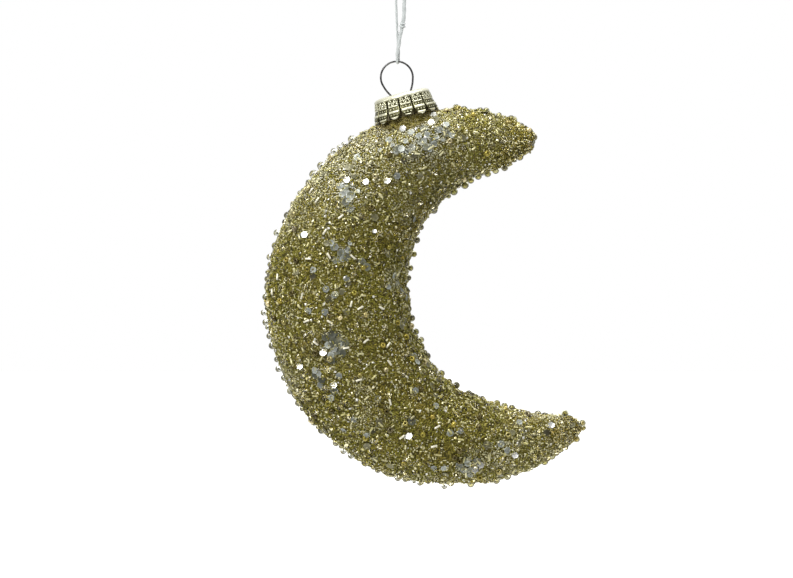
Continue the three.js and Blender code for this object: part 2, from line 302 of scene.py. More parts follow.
string_loop, loop_line = string_piece("string_loop", LOOP_ROUTE, 330, loop_width)
string_bight, bight_line = string_piece("string_over_ring", BIGHT_ROUTE, 70, bight_width)


def overhand_knot():
    """The knot as three turns of the same thread, drawn tight round the strand."""
    centre = np.array([0.72, 0.0, -19.64])
    points = []
    for i in range(0, 61):
        t = i / 60
        a = 2 * math.pi * (2.35 * t + 0.1)
        r = 0.52 + 0.1 * math.sin(3 * a)
        points.append(
            centre + np.array([
                (r + 0.02) * math.cos(a) + 0.12 * math.sin(a * 0.5),
                0.5 * math.sin(a),
                0.95 - 1.9 * t + 0.22 * math.sin(a + 0.7),
            ])
        )
    line, tangent, way = catmull(points, 150)
    side, other = frames_along(tangent, np.array([0.0, 0.0, 1.0]))
    o = tube("string_knot_turns", line, side, other, lambda i: thread_outline(way[i], 0.78, 0.58))
    return o


knot = overhand_knot()
for o in (string_loop, knot):
    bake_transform(o)
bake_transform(string_bight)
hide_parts("string_arch", "string_left_strand", "string_right_strand_upper", "string_right_strand_lower")
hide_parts("string_knot")
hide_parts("string_bight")


# ------------------------------------------------------------- moon's surface
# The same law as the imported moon: one circle with another taken out of it.
CX, CZ = 16.35, -104.76
R_MOON, R_BAY = 57.9, 38.4
BAY_D, BAY_A = math.hypot(23.59, 3.24), math.atan2(3.24, 23.59)
FIRST, LAST = math.radians(62.1), math.radians(316.3)
NECK_TILT = math.radians(14.2)
AXIS = np.array([-math.sin(NECK_TILT), 0, math.cos(NECK_TILT)])
ACROSS = np.array([math.cos(NECK_TILT), 0, math.sin(NECK_TILT)])
CENTRE = np.array([CX, 0, CZ])
CAP_BOTTOM, CAP_HEIGHT = 58.7, 7.0
COLLAR_R = 8.0


# Hand-blown unevenness of the outline: how far its outer and its inner edge
# stand out, in millimetres, at directions in degrees.
OUTER_SWELL = [
    (70, -0.1), (76, 0.3), (82, 0.9), (88, 1.0), (94, 0.95), (100, 0.8), (106, 0.9), (112, 0.8), (118, 0.8), (123, 0.2), (128, 0),
    (142, 0), (148, 0.2), (160, -0.1), (168, 0), (176, 0.2), (190, 0.15), (204, 0.1), (214, 0.35), (222, 0.3), (228, 0.1), (236, 0.6),
    (250, 0.85), (256, 0.2), (262, -0.3), (268, 0.1), (276, -0.2), (282, 0.5), (298, 1.0), (304, 0.7), (310, -0.8), (316, -0.3),
]
INNER_SWELL = [
    (63, -0.7), (68, -0.2), (76, 0.5), (82, -0.8), (88, 0.2), (94, 0), (100, 0.5), (110, -0.3), (118, -0.2), (126, 0.5), (134, 0.5),
    (142, 0), (166, 0.1), (172, 1.1), (190, 1.1), (202, 0.9), (208, 0.2), (214, 0), (232, 0), (238, 0.9), (244, 0.6), (250, 0.2),
    (256, 0.7), (262, 0.2), (268, 0.4), (273, -0.7), (280, 1.5), (286, 1.9), (292, 1.0), (298, 0.6), (304, 2.6), (310, 2.8), (316, 2.8),
]


def section(angle):
    """Middle radius, half width and half depth of the moon where it crosses a direction."""
    turned = angle - BAY_A
    inner = BAY_D * np.cos(turned) + np.sqrt(np.maximum(R_BAY**2 - (BAY_D * np.sin(turned)) ** 2, 0))
    middle, width = (R_MOON + inner) / 2, (R_MOON - inner) / 2
    share = np.minimum(width / 21.5, 1)
    depth = (1.04 - 0.17 * share) * width
    fade = np.ones_like(width)
    for way, tip, curve, bend, power in (
        ((angle - FIRST) * 54.0, 54.0, 5.0, 7.0, 2.6),
        ((LAST - angle) * 57.0, 57.0, 27.0, 24.0, 2.3),
    ):
        full = (1 - (1 - np.clip(way / curve, 0, 1)) ** power) ** (1 / power)
        width, depth = width * full, depth * full
        b = (1 - np.clip(way / bend, 0, 1)) ** 2
        middle = middle * (1 - b) + tip * b
        fade = fade * np.sqrt(1 - (1 - np.clip(way / 4.0, 0, 1)) ** 2)
    degrees = np.degrees(angle)
    outer = middle + width + fade * np.interp(degrees, *np.array(OUTER_SWELL).T)
    inner = middle - width - fade * np.interp(degrees, *np.array(INNER_SWELL).T)
    return (outer + inner) / 2, (outer - inner) / 2, depth


def on_moon(angle, turn):
    middle, width, depth = section(angle)
    radius = middle + width * np.cos(turn)
    return np.stack([CX + radius * np.cos(angle), -depth * np.sin(turn), CZ + radius * np.sin(angle)], -1)


def moon_normal(angle, turn):
    step = 2e-4
    a = np.clip(angle, FIRST + 3 * step, LAST - 3 * step)
    da = on_moon(a + step, turn) - on_moon(a - step, turn)
    dt = on_moon(a, turn + step) - on_moon(a, turn - step)
    n = np.cross(dt, da)
    middle, _, _ = section(a)
    core = np.stack([CX + middle * np.cos(a), np.zeros_like(a), CZ + middle * np.sin(a)], -1)
    n *= np.sign((n * (on_moon(a, turn) - core)).sum(-1))[..., None]
    return n / np.linalg.norm(n, axis=-1)[..., None]


def front_of_moon(x, z, back=False):
    """The (angle, turn) of the front, or back, over points of the XZ plane."""
    x, z = np.asarray(x, float), np.asarray(z, float)
    angle = np.arctan2(z - CZ, x - CX) % (2 * math.pi)
    angle = np.clip(angle, FIRST + 0.02, LAST - 0.02)
    middle, width, _ = section(angle)
    side = np.clip((np.hypot(x - CX, z - CZ) - middle) / width, -0.985, 0.985)
    turn = np.arccos(side)
    return angle, -turn if back else turn


def soft_noise(p, size, seed):
    """Smooth noise from 0 to 1 that changes over size millimetres."""
    q = np.asarray(p, float) / size + 1000.0
    cell = np.floor(q).astype(np.int64)
    f = q - cell
    f = f * f * (3 - 2 * f)
    total = np.zeros(q.shape[:-1])
    for corner in range(8):
        d = np.array([corner & 1, corner >> 1 & 1, corner >> 2])
        c = cell + d
        h = (c[..., 0] * 73856093 ^ c[..., 1] * 19349663 ^ c[..., 2] * 83492791 ^ seed * 2654435) & 0xFFFFFFFF
        h = (h ^ (h >> 13)) * 1274126177 & 0xFFFFFFFF
        h = (h ^ (h >> 16)) & 0xFFFFFFFF
        weight = np.prod(np.where(d, f, 1 - f), axis=-1)
        total += weight * (h / 4294967295.0)
    return total


def seen_at(px, py, depth=0.0):
    """Where a picture place lies in the XZ plane, for something depth millimetres nearer."""
    x, z = (np.asarray(px) - 400.2) / PX_PER_MM, -(np.asarray(py) + 38) / PX_PER_MM
    near = (VIEW_BACK - depth) / VIEW_BACK
    return VIEW_X + (x - VIEW_X) * near, VIEW_Z + (z - VIEW_Z) * near


# Round beads of lined glass that stand at the outline: picture place, radius in
# millimetres. Those on the horns and in the bay are half buried in the crust.
EDGE_BEADS = np.array([
    (456.1, 107.4, 1.05), (464.1, 109.4, 1.1), (480.2, 110.8, 1.1), (486.2, 110.8, 1.05), (499.3, 114.8, 0.75),
    (511, 118.8, 1.1), (514, 119.5, 1.05), (521, 126.2, 1.1), (533.9, 137.3, 1.1), (519.7, 157, 1.15),
    (504.6, 167.7, 1.1), (495.6, 170.4, 1.1), (487.6, 173.7, 1.1), (478.2, 176.4, 1.1), (470.8, 180.4, 1.05),
    (464.8, 185.1, 1.25), (453.9, 191.6, 1.2), (448.5, 196, 0.8), (433.8, 210.1, 1.2), (421, 227.3, 0.9),
    (416.6, 240, 1.1), (413.7, 254.1, 1.0), (410.2, 268.1, 1.0), (408.3, 277.9, 0.95), (411.6, 318.1, 1.1),
    (415.7, 331.8, 1.05), (421.1, 339.7, 0.95), (426.9, 356.2, 1.2), (441.4, 373.6, 1.1), (456.4, 385.3, 1.1),
    (468.8, 393.5, 1.05), (475.6, 396.5, 0.9), (497, 403.4, 1.1), (504.4, 406.1, 1.1), (511.7, 408.1, 1.1),
    (537.9, 414.1, 1.15), (565, 413.4, 1.15), (582.2, 423.0, 1.1), (582.8, 427.5, 1.1), (576.4, 438.9, 1.15),
    (560.6, 448.9, 1.15), (551.9, 456.3, 1.1), (544.6, 461.7, 1.1), (539.2, 461, 1.0), (507.4, 476.4, 1.15),
    (496.3, 480.4, 1.15), (470.8, 484, 1.1), (444.4, 485.9, 1.0), (420, 482.8, 0.95), (414.2, 481.3, 0.65),
    (405.4, 479, 1.0), (397.9, 477.9, 1.05), (377.8, 469.9, 1.0), (364.4, 463, 1.0), (351, 455.7, 1.0),
    (343.3, 451.2, 0.95), (336.3, 442.6, 1.2), (329.3, 434.9, 0.95), (321.3, 430.5, 1.1), (314, 421.9, 1.2),
    (302.2, 408.8, 0.8), (298.1, 403.1, 1.0), (290.6, 390.9, 1.2), (284.2, 377.7, 1.05), (278.7, 368.9, 1.05),
    (277.1, 359.3, 0.95), (272.3, 345.6, 1.15), (269.5, 336, 1.0), (267.6, 327.4, 0.75), (266, 322.3, 1.15),
    (263.9, 312.6, 1.0), (267.1, 304.1, 0.95), (265.8, 297.1, 1.1), (268.1, 287.2, 1.25), (267.7, 278.6, 0.9),
    (270.6, 264.5, 1.0), (270, 257.2, 1.1), (275.1, 245.7, 1.1), (277, 233, 1.1), (286.1, 224.4, 1.0),
    (287.4, 215.4, 1.15), (293.1, 204.3, 0.8), (299.8, 193, 0.8), (308.5, 182.2, 0.9), (313.8, 174.5, 1.45),
    (321.2, 165.8, 1.3), (330.6, 156.1, 1.0), (333.9, 151.4, 1.05), (339.3, 147.4, 0.8), (343.6, 144.1, 0.7),
    (352, 139.4, 1.3),
])


def edge_beads():
    """Centres and radii of the outline's beads, where each one's foot is, and how far out it stands."""
    x, z = seen_at(EDGE_BEADS[:, 0], EDGE_BEADS[:, 1])
    radius = EDGE_BEADS[:, 2]
    # Neighbours that would meet stand one behind the other.
    y = np.zeros(len(x))
    for i in range(1, len(x)):
        gap = math.hypot(x[i] - x[i - 1], z[i] - z[i - 1])
        reach = (radius[i] + radius[i - 1]) * 0.97
        if gap < reach:
            y[i] = y[i - 1] + math.sqrt(reach**2 - gap**2) * (-1 if y[i - 1] > 0 else 1)
            if y[i - 1] == 0:
                y[i - 1], y[i] = -y[i] / 2, y[i] / 2
    way = np.hypot(x - CX, z - CZ)
    angle = np.clip(np.arctan2(z - CZ, x - CX) % (2 * math.pi), FIRST + 0.012, LAST - 0.012)
    middle, width, _ = section(angle)
    turn = np.where(way > middle, 0.0, math.pi)
    foot = on_moon(angle, turn)
    foot[:, 1] = y
    centre = np.stack([x, y, z], 1)
    out = ((centre - foot) * moon_normal(angle, turn)).sum(1)
    return centre, radius, foot, out


LOWERED = 0.25


def lumps(p):
    """How far the clusters of the crust swell or sink, in millimetres."""
    rise = (
        0.85 * (soft_noise(p, 3.4, 11) - 0.5)
        + 0.35 * (soft_noise(p, 1.7, 12) - 0.5)
        + 0.5 * (soft_noise(p, 9.0, 13) - 0.5)
        - LOWERED
    )
    # The glue rises or sinks to the foot of each bead of the outline.
    flat = np.asarray(p, float).reshape(-1, 3)
    level = rise.reshape(-1).copy()
    weight, wanted = np.zeros(len(flat)), np.zeros(len(flat))
    near = np.abs(flat[:, 1]) < 6
    for foot, stand, radius, proud in zip(bead_feet, bead_out, bead_radii, bead_proud):
        w = np.exp(-((flat[near] - foot) ** 2).sum(1) / (1.5 if proud > 0.5 else 1.9 if proud > 0 else 2.1) ** 2)
        weight[near] += w
        wanted[near] += w * (stand - proud * radius - 0.25)
    share = np.minimum(weight, 1.0) * 0.9
    level = level * (1 - share) + share * wanted / np.maximum(weight, 1e-9)
    return np.maximum(level, -0.85).reshape(rise.shape)


bead_centres, bead_radii, bead_feet, bead_out = edge_beads()
bead_buried = np.arange(len(EDGE_BEADS)) < 47
bead_proud = np.where(np.arange(len(EDGE_BEADS)) < 9, -0.42, np.where(bead_buried, 0.25, 0.62))


def neck_place(p):
    """Distance from the neck's axis, and place along it."""
    d = np.asarray(p) - CENTRE
    s = d @ AXIS
    off = d - s[..., None] * AXIS
    return np.linalg.norm(off, axis=-1), s


def spread_even(n, rng, rows=700, cols=320):
    """n places on the moon, even by area, as (angle, turn)."""
    v = (np.arange(rows) + 0.5) / rows
    even = 0.35 * v + 0.65 * (1 - np.cos(math.pi * v)) * 0.5
    edge = np.arange(rows + 1) / rows
    edge = 0.35 * edge + 0.65 * (1 - np.cos(math.pi * edge)) * 0.5
    a = FIRST + (LAST - FIRST) * even
    da = np.diff(FIRST + (LAST - FIRST) * edge)
    t = (np.arange(cols) + 0.5) / cols * 2 * math.pi
    A, T = np.meshgrid(a, t, indexing="ij")
    step = 1e-3
    A2 = np.clip(A, FIRST + 2 * step, LAST - 2 * step)
    ra = (on_moon(A2 + step, T) - on_moon(A2 - step, T)) / (2 * step)
    rt = (on_moon(A2, T + step) - on_moon(A2, T - step)) / (2 * step)
    area = np.linalg.norm(np.cross(ra, rt), axis=-1) * da[:, None] * (2 * math.pi / cols)
    pick = rng.choice(rows * cols, n, p=area.ravel() / area.sum())
    i, j = pick // cols, pick % cols
    angle = a[i] + (rng.random(n) - 0.5) * da[i]
    turn = t[j] + (rng.random(n) - 0.5) * 2 * math.pi / cols
    return angle, turn, float(area.sum())


def apart(points, distance, taken=()):
    """Indices of points that keep this distance from each other, first come first served."""
    kept, cells = [], {}
    keys = np.floor(points / distance).astype(int)
    near = [(i, j, k) for i in (-1, 0, 1) for j in (-1, 0, 1) for k in (-1, 0, 1)]
    limit = distance * distance
    pts = points.tolist()
    for n, (x, y, z) in enumerate(keys.tolist()):
        px, py, pz = pts[n]
        clear = True
        for i, j, k in near:
            for m in cells.get((x + i, y + j, z + k), ()):
                qx, qy, qz = pts[m]
                if (px - qx) ** 2 + (py - qy) ** 2 + (pz - qz) ** 2 < limit:
                    clear = False
                    break
            if not clear:
                break
        if clear:
            cells.setdefault((x, y, z), []).append(n)
            kept.append(n)
    return np.array(kept, int)


def turned_frames(normal, spin):
    """Rotation matrices, as rows, whose third axis is normal, turned about it by spin."""
    n = normal / np.linalg.norm(normal, axis=1)[:, None]
    helper = np.where(np.abs(n[:, 1:2]) < 0.9, [[0.0, 1.0, 0.0]], [[1.0, 0.0, 0.0]])
    u = np.cross(helper, n)
    u /= np.linalg.norm(u, axis=1)[:, None]
    v = np.cross(n, u)
    c, s = np.cos(spin)[:, None], np.sin(spin)[:, None]
    return np.stack([c * u + s * v, -s * u + c * v, n], 1)


def tipped(normal, amount, rng):
    """Normals tipped by a random angle of about this size, in radians."""
    extra = rng.normal(size=normal.shape) * np.tan(amount) * 0.7
    n = normal + extra
    return n / np.linalg.norm(n, axis=1)[:, None]


def scatter(name, base, faces, places, axes, sizes, tints, smooth=True, shade=None):
    """One mesh of many copies of a small shape, each with its own place, turn, size and tint.

    shade is how much of the tint each point of the shape keeps."""
    count, k = len(places), len(base)
    sizes = np.asarray(sizes, float)
    sizes = sizes[:, None] * np.ones(3) if sizes.ndim == 1 else sizes
    local = base[None] * sizes[:, None, :]
    points = np.einsum("nki,nij->nkj", local, axes) + places[:, None, :]
    corners = (faces[None] + k * np.arange(count)[:, None, None]).reshape(-1, faces.shape[1])
    o = mesh_object(name, points.reshape(-1, 3), corners, smooth)
    me = o.data
    colour = me.attributes.new("tint", "FLOAT_COLOR", "POINT")
    rgba = np.ones((count, k, 4), np.float32)
    rgba[..., :3] = np.asarray(tints)[:, None, :] * (1.0 if shade is None else np.asarray(shade)[None, :, None])
    colour.data.foreach_set("color", rgba.ravel())
    # Each copy has one cell of the map, seen along a slanting direction.
    side = int(math.ceil(math.sqrt(count)))
    flat = np.stack([base @ np.array([0.86, 0.21, 0.46]), base @ np.array([-0.33, 0.89, 0.31])], 1)
    flat = (flat - flat.min(0)) / np.ptp(flat, axis=0)
    index = np.arange(count)
    corner = np.stack([index % side, index // side], 1) / side
    uv = corner[:, None, :] + (0.12 + 0.76 * flat[None]) / side
    layer = me.uv_layers.new(name="OFBake")
    vertex = np.empty(len(me.loops), np.int32)
    me.loops.foreach_get("vertex_index", vertex)
    layer.uv.foreach_set("vector", uv.reshape(-1, 2)[vertex].astype(np.float32).ravel())
    return o


# ------------------------------------------------------------- small shapes
def icosphere(level):
    bm = bmesh.new()
    bmesh.ops.create_icosphere(bm, subdivisions=level, radius=1.0)
    v = np.array([list(x.co) for x in bm.verts])
    f = np.array([[x.index for x in face.verts] for face in bm.faces])
    bm.free()
    return v, f


def turned_shape(profile, around):
    """A closed ring of quads: a profile of (radius, height) turned about Z."""
    profile = np.array(profile, float)
    a = np.arange(around) * 2 * math.pi / around
    v = np.stack([
        profile[:, None, 0] * np.cos(a), profile[:, None, 0] * np.sin(a), profile[:, None, 1] * np.ones(around)
    ], -1).reshape(-1, 3)
    k = len(profile)
    f = [
        (i * around + j, i * around + (j + 1) % around, (i + 1) % k * around + (j + 1) % around, (i + 1) % k * around + j)
        for i in range(k) for j in range(around)
    ]
    return v, np.array(f)


def seed_shape(around=14):
    """A round glass bead with its hole, 1 in radius, axis along Z."""
    t = np.arange(9) / 9 * 2 * math.pi
    profile = [
        (0.63 + 0.37 * math.copysign(abs(math.cos(x)) ** 0.85, math.cos(x)),
         0.70 * math.copysign(abs(math.sin(x)) ** 0.8, math.sin(x)))
        for x in t
    ]
    return turned_shape(profile, around)


def bugle_shape(around=10):
    """A cut glass tube, 1 in radius and 2 long, axis along X."""
    profile = [(1.0, -0.93), (1.0, 0.0), (1.0, 0.93), (0.86, 1.0), (0.58, 1.0), (0.5, 0.9), (0.5, -0.9), (0.58, -1.0), (0.86, -1.0)]
    v, f = turned_shape(profile, around)
    return v[:, [2, 1, 0]] * np.array([1, -1, 1]), f


def sequin_shape(thick=0.07, dish=0.06):
    """A hexagonal foil disc, 1 in radius, lying across Z, slightly dished, with a softened rim."""
    a = np.arange(6) * math.pi / 3
    ring = lambda r, z: np.stack([r * np.cos(a), r * np.sin(a), np.full(6, z)], 1)
    v = np.vstack([
        [[0, 0, thick - dish]], ring(0.55, thick - 0.6 * dish), ring(0.95, thick), ring(1.0, thick * 0.4),
        ring(1.0, -thick * 0.4), ring(0.95, -thick), ring(0.55, -thick - 0.6 * dish), [[0, 0, -thick - dish]],
    ])
    f = [(0, 1 + j, 1 + (j + 1) % 6) for j in range(6)]
    for r in range(5):
        b = 1 + 6 * r
        for j in range(6):
            p, q = b + j, b + (j + 1) % 6
            f += [(p, p + 6, q + 6), (p, q + 6, q)]
    f += [(37, 31 + (j + 1) % 6, 31 + j) for j in range(6)]
    return v, np.array(f)


def sliver_shape():
    """A short rod of glass, 1 in radius and 2 long along X, with worn ends."""
    a = np.arange(5) * 2 * math.pi / 5
    rings = [(-1.0, 0.5), (-0.82, 1.0), (0.82, 1.0), (1.0, 0.5)]
    v = np.vstack([np.stack([np.full(5, x), r * np.cos(a), r * np.sin(a)], 1) for x, r in rings])
    f = []
    for i in range(3):
        for j in range(5):
            p, q = 5 * i + j, 5 * i + (j + 1) % 5
            f += [(p, q, q + 5), (p, q + 5, p + 5)]
    f += [(0, 2, 1), (0, 3, 2), (0, 4, 3), (15, 16, 17), (15, 17, 18), (15, 18, 19)]
    return v, np.array(f)


def chip_shape():
    """A flat faceted chip of foil or crushed glass, 1 in radius."""
    a = np.arange(5) * 2 * math.pi / 5
    v = np.vstack([[[0.1, 0, 0.28]], np.stack([np.cos(a), np.sin(a) * 0.8, 0.04 * np.cos(3 * a)], 1), [[0, 0.1, -0.28]]])
    f = [(0, 1 + j, 1 + (j + 1) % 5) for j in range(5)] + [(6, 1 + (j + 1) % 5, 1 + j) for j in range(5)]
    return v, np.array(f)

# --------------------------------------------------------- skin of the crust
def make_skin(rows=430, cols=200):
    v = np.arange(1, rows) / rows
    even = 0.35 * v + 0.65 * (1 - np.cos(math.pi * v)) * 0.5
    angle = FIRST + (LAST - FIRST) * even
    turn = np.arange(cols) / cols * 2 * math.pi
    A, T = np.meshgrid(angle, turn, indexing="ij")
    p = on_moon(A, T)
    n = moon_normal(A, T)
    p = p + n * np.maximum(lumps(p) - 0.35, -1.2)[..., None]
    off, s = neck_place(p)
    inside = (off < COLLAR_R + 0.5) & (s > 40)
    tips = [on_moon(np.array(x), np.array(0.0)) for x in (FIRST, LAST)]
    points = np.vstack([p.reshape(-1, 3), tips])
    last = rows - 2
    faces = []
    ring = lambda i, j: i * cols + j % cols
    for i in range(last):
        for j in range(cols):
            if not (inside[i, j] and inside[i + 1, j] and inside[i, (j + 1) % cols] and inside[i + 1, (j + 1) % cols]):
                faces.append((ring(i, j), ring(i, j + 1), ring(i + 1, j + 1), ring(i + 1, j)))
    for j in range(cols):
        faces.append((len(points) - 2, ring(0, j + 1), ring(0, j)))
        faces.append((len(points) - 1, ring(last, j), ring(last, j + 1)))
    used = np.unique(np.concatenate([np.array(f) for f in faces]))
    new = np.full(len(points), -1)
    new[used] = np.arange(len(used))
    faces = [tuple(int(new[k]) for k in f) for f in faces]
    return mesh_object("crust_skin", points[used], faces)


def collar_point(azimuth, share):
    """The crust where it climbs the glass neck under the cap: share 0 on the moon, 1 at its upper edge."""
    direction = np.cos(azimuth)[..., None] * ACROSS + np.sin(azimuth)[..., None] * np.array([0.0, 1.0, 0.0])
    # The moon's surface beside the neck, found by stepping down the axis.
    reach = COLLAR_R + 2.1 * (1 - share) ** 2
    at = CENTRE + direction * reach[..., None]
    low = np.full(reach.shape, 40.0)
    high = np.full(reach.shape, 60.0)
    for _ in range(26):
        mid = (low + high) / 2
        p = at + AXIS * mid[..., None]
        angle = np.arctan2(p[..., 2] - CZ, p[..., 0] - CX) % (2 * math.pi)
        middle, width, depth = section(angle)
        out = ((np.hypot(p[..., 0] - CX, p[..., 2] - CZ) - middle) / width) ** 2 + (p[..., 1] / depth) ** 2 > 1
        high = np.where(out, mid, high)
        low = np.where(out, low, mid)
    foot = (low + high) / 2
    top = np.maximum(foot + 0.6, 58.2)
    s = foot - 0.25 * (1 - share) + (top - foot) * share**1.4
    return at + AXIS * s[..., None], direction


def make_collar(rows=22, around=120):
    azimuth = np.arange(around) / around * 2 * math.pi
    share = np.linspace(0, 1, rows)
    S, A = np.meshgrid(share, azimuth, indexing="ij")
    p, direction = collar_point(A, S)
    p = p + direction * (0.35 * (soft_noise(p, 1.3, 31) - 0.5))[..., None]
    inner, _ = collar_point(azimuth, np.ones(around))
    flat, way = neck_place(inner)
    lip = CENTRE + AXIS * (way - 0.3)[:, None] + direction[-1] * 7.72
    points = np.vstack([p.reshape(-1, 3), lip])
    faces = [
        (i * around + j, i * around + (j + 1) % around, (i + 1) * around + (j + 1) % around, (i + 1) * around + j)
        for i in range(rows) for j in range(around)
    ]
    return mesh_object("crust_collar", points, faces)


crust_skin = make_skin()
crust_collar = make_collar()

# --------------------------------------------------------- beads and grains
rng = np.random.default_rng(20)
# Pale cream that stands in for the small glints of the glass grains: a painted highlight.
PALE_GLINT = np.array([0.86, 0.81, 0.45])


def on_front(px, py):
    """The crust's place and outward direction behind picture places."""
    x, z = seen_at(px, py)
    for _ in range(3):
        angle, turn = front_of_moon(x, z)
        y = on_moon(angle, turn)[..., 1]
        x, z = seen_at(px, py, -y)
    angle, turn = front_of_moon(x, z)
    return on_moon(angle, turn), moon_normal(angle, turn)


def near(p, x, z, reach):
    """1 at a place of the front or back, fading to 0 over a reach in millimetres."""
    return np.exp(-((p[..., 0] - x) ** 2 + (p[..., 2] - z) ** 2) / reach**2)


def greyness(p):
    """Where the crust is paler and more silvery: round the cap, on the shoulder, and in loose patches."""
    silvery = near(p, 7.0, -54.0, 9.5) + 0.45 * near(p, -9.0, -58.0, 8.0) + 0.75 * near(p, -18.0, -68.0, 10.0)
    silvery = silvery + 0.30 * near(p, 45.0, -146.0, 13.0) + 0.25 * near(p, -31.0, -79.0, 9.0) + 0.30 * near(p, -22.0, -120.0, 6.5)
    patch = np.clip((soft_noise(p, 11.0, 21) - 0.62) * 5, 0, 1) * (1 - near(p, 16.0, -62.0, 16.0))
    return np.clip(silvery + 0.4 * patch, 0, 0.95)


def painted_light_and_shade(p):
    """Painted light and shade in broad patches: darker under the upper horn and in places along the body, lighter at
    the lower horn and round the neck just below the cap, with a painted shadow under the hem of the cap.
    """
    t = 1 - 0.28 * near(p, 11.0, -66.0, 12.0) - 0.20 * near(p, -4.0, -86.0, 12.0) - 0.12 * near(p, -22.0, -92.0, 8.0)
    t = t + 0.22 * near(p, 41.0, -144.0, 13.0) - 0.13 * near(p, -31.0, -136.0, 8.0) + 0.20 * near(p, 17.0, -48.5, 10.0)
    t = t + 0.08 * near(p, -24.0, -70.0, 13.0) - 0.15 * near(p, -21.5, -119.0, 6.0) - 0.12 * near(p, -8.0, -124.0, 11.0)
    # Painted shadow on the crust under the hem of the cap, and painted light on a patch just below it.
    off, s = neck_place(p)
    skirt_shadow = np.where(s > 45, np.clip((10.7 - off) / 0.7, 0, 1), 0)
    t = t + 0.30 * near(p, 0.0, -52.5, 6.5)
    return t[..., None] * (1 - skirt_shadow[..., None] * [0.55, 0.61, 0.76])


def brownness(p):
    """Where it is warmer and darker: at the horns' tips and in places along the edge."""
    angle = np.arctan2(p[..., 2] - CZ, p[..., 0] - CX) % (2 * math.pi)
    tip = np.clip(1 - (angle - FIRST) / 0.30, 0, 1) + np.clip(1 - (LAST - angle) / 0.36, 0, 1)
    patch = np.clip((soft_noise(p, 7.0, 22) - 0.60) * 4, 0, 1)
    return np.clip(0.8 * tip + 0.55 * patch, 0, 1)


def grain_tints(p, rng):
    n = len(p)
    gold = np.array([0.42, 0.362, 0.052])
    olive = np.array([0.275, 0.265, 0.028])
    brown = np.array([0.37, 0.265, 0.045])
    dark = np.array([0.092, 0.076, 0.006])
    silver = np.array([0.78, 0.77, 0.60])
    green = soft_noise(p, 6.0, 24)
    tint = gold + (olive - gold) * np.clip(rng.random(n) + 0.7 * (green - 0.5), 0, 1)[:, None]
    b = (brownness(p) * rng.random(n) ** 0.5)[:, None]
    tint = tint * (1 - b) + brown * b
    roll = rng.random(n)
    tint = np.where((roll < 0.20)[:, None], dark, tint)
    # About one grain in seven takes the pale cream: painted glints.
    tint = np.where((roll > 0.86)[:, None], PALE_GLINT * 0.92, tint)
    g = (greyness(p) * (rng.random(n) < 0.72))[:, None]
    tint = tint * (1 - g) + silver * g
    return tint * (0.8 + 0.4 * rng.random(n))[:, None] * painted_light_and_shade(p)


# Loose hexagonal sequins. The front ones lie where the real ones do; b is
# bright, g is grey, m and n are misty and half sunk, s is a small one.
FRONT_SEQUINS = """
403 130 b  431 124 b  433 115 b  347 180 b  366 182 b  387 181 b  305 235 b  374 231 bs  323.5 352.5 b
300 366 b  334 385 b  408.7 435.7 b  480.6 465 b  475 469 b  550.7 426 b  411 132 g  440 130 g  424 141 g
401.5 149 g  357 157 g  347 193 g  342 194 g  349 199 g  414.6 219 g  335.5 247 g  348 250 g  343 258.7 g
313 270 g  346.5 278.6 g  394.7 275.8 g  388.4 286.4 g  326 289 g  334.5 295 g  309 311 g  325 312 g
275 319 g  401 324 g  414.7 356 g  417 362 g  315 370 g  319 373 g  339 376 g  320 385 g  332.6 390 g
331 398 g  415.7 390.5 g  436 406 g  354 419.6 g  344 430 g  367 435 g  450.5 433 g  461 430.5 g
519.6 422 g  433.6 469 g  444 468.6 g  458.8 464.8 g  468 463.6 g  463.4 469.7 g  470 475 g  501 444 g
507 450 g  514.5 454.5 b  397 176 g  352 186 gs  358 191 gs  340 186 g  331 243 g  341 252 g  350 243 gs
328 345 g  334 349 g  339 344 g  331 355 g  338 352 gs  324 349 gs  397 284 g  402 290 g  406 297 g
446 124 g  437 137 gs  416 121 gs  452 135 g  389 140 g  380 150 gs  405 141 g
419 136 g  427 135 g  434 144 g  396 151 g  408 151 g  393 145 gs  443 139 gs  430 150 gs
326 337 n  332 334 n  338 337 n  345 343 n  340 344 n  333 342 n  336 351 n  342 353 n  331 360 n
315 375 n  322 379 n  334 391 n  334 247 m  341 253 m  336 260 m  347 257 m  362 262 m  367 267 m
345 187 m  351 195 m  346 202 m  350 208 m  399 149 m  405 153 m  412 147 m  421 142 m  427 147 m
433 141 m  438 130 m  446 133 m  424 129 m  460 467 m  470 470 m  477 462 m  468 461 m  412 421 m
414 155 d  404 160 d  313 276 d  348 283 d  329 299.5 d  373 430 d  379.5 421.6 d  546 433 d
""".split()
listed = [(float(FRONT_SEQUINS[i]), float(FRONT_SEQUINS[i + 1]), FRONT_SEQUINS[i + 2]) for i in range(0, len(FRONT_SEQUINS), 3)]
key_direction = np.array([-0.30, -0.62, 0.72])
key_direction /= np.linalg.norm(key_direction)
half_way = key_direction + np.array([0, -1.0, 0])
half_way /= np.linalg.norm(half_way)


def sequin_cloud(name, places, normals, sizes, tints, r, rim=1.0):
    base, faces = sequin_shape()
    axes = turned_frames(normals, r.random(len(places)) * 2 * math.pi)
    # The film sequins' tint is painted lighter at the rim and darker in the middle: a painted highlight round each
    # edge.
    shade = np.interp(np.hypot(base[:, 0], base[:, 1]), [0, 0.55, 0.95, 1.0], [1 - 0.16 * rim, 1 - 0.1 * rim, 1 + 0.3 * rim, 1 + 0.45 * rim])
    return scatter(name, base, faces, places, axes, sizes, tints, smooth=False, shade=shade)


BRIGHT, FILM, DARK, HAZE = [0.95, 0.96, 0.93], [0.36, 0.385, 0.35], [0.085, 0.078, 0.035], [0.20, 0.19, 0.10]
TINT_OF = {"b": BRIGHT, "g": FILM, "d": DARK, "m": [0.18, 0.19, 0.145], "n": [0.115, 0.122, 0.085]}
LIFT_OF = {"b": 0.46, "g": 0.14, "d": 0.14, "m": 0.09, "n": 0.09}


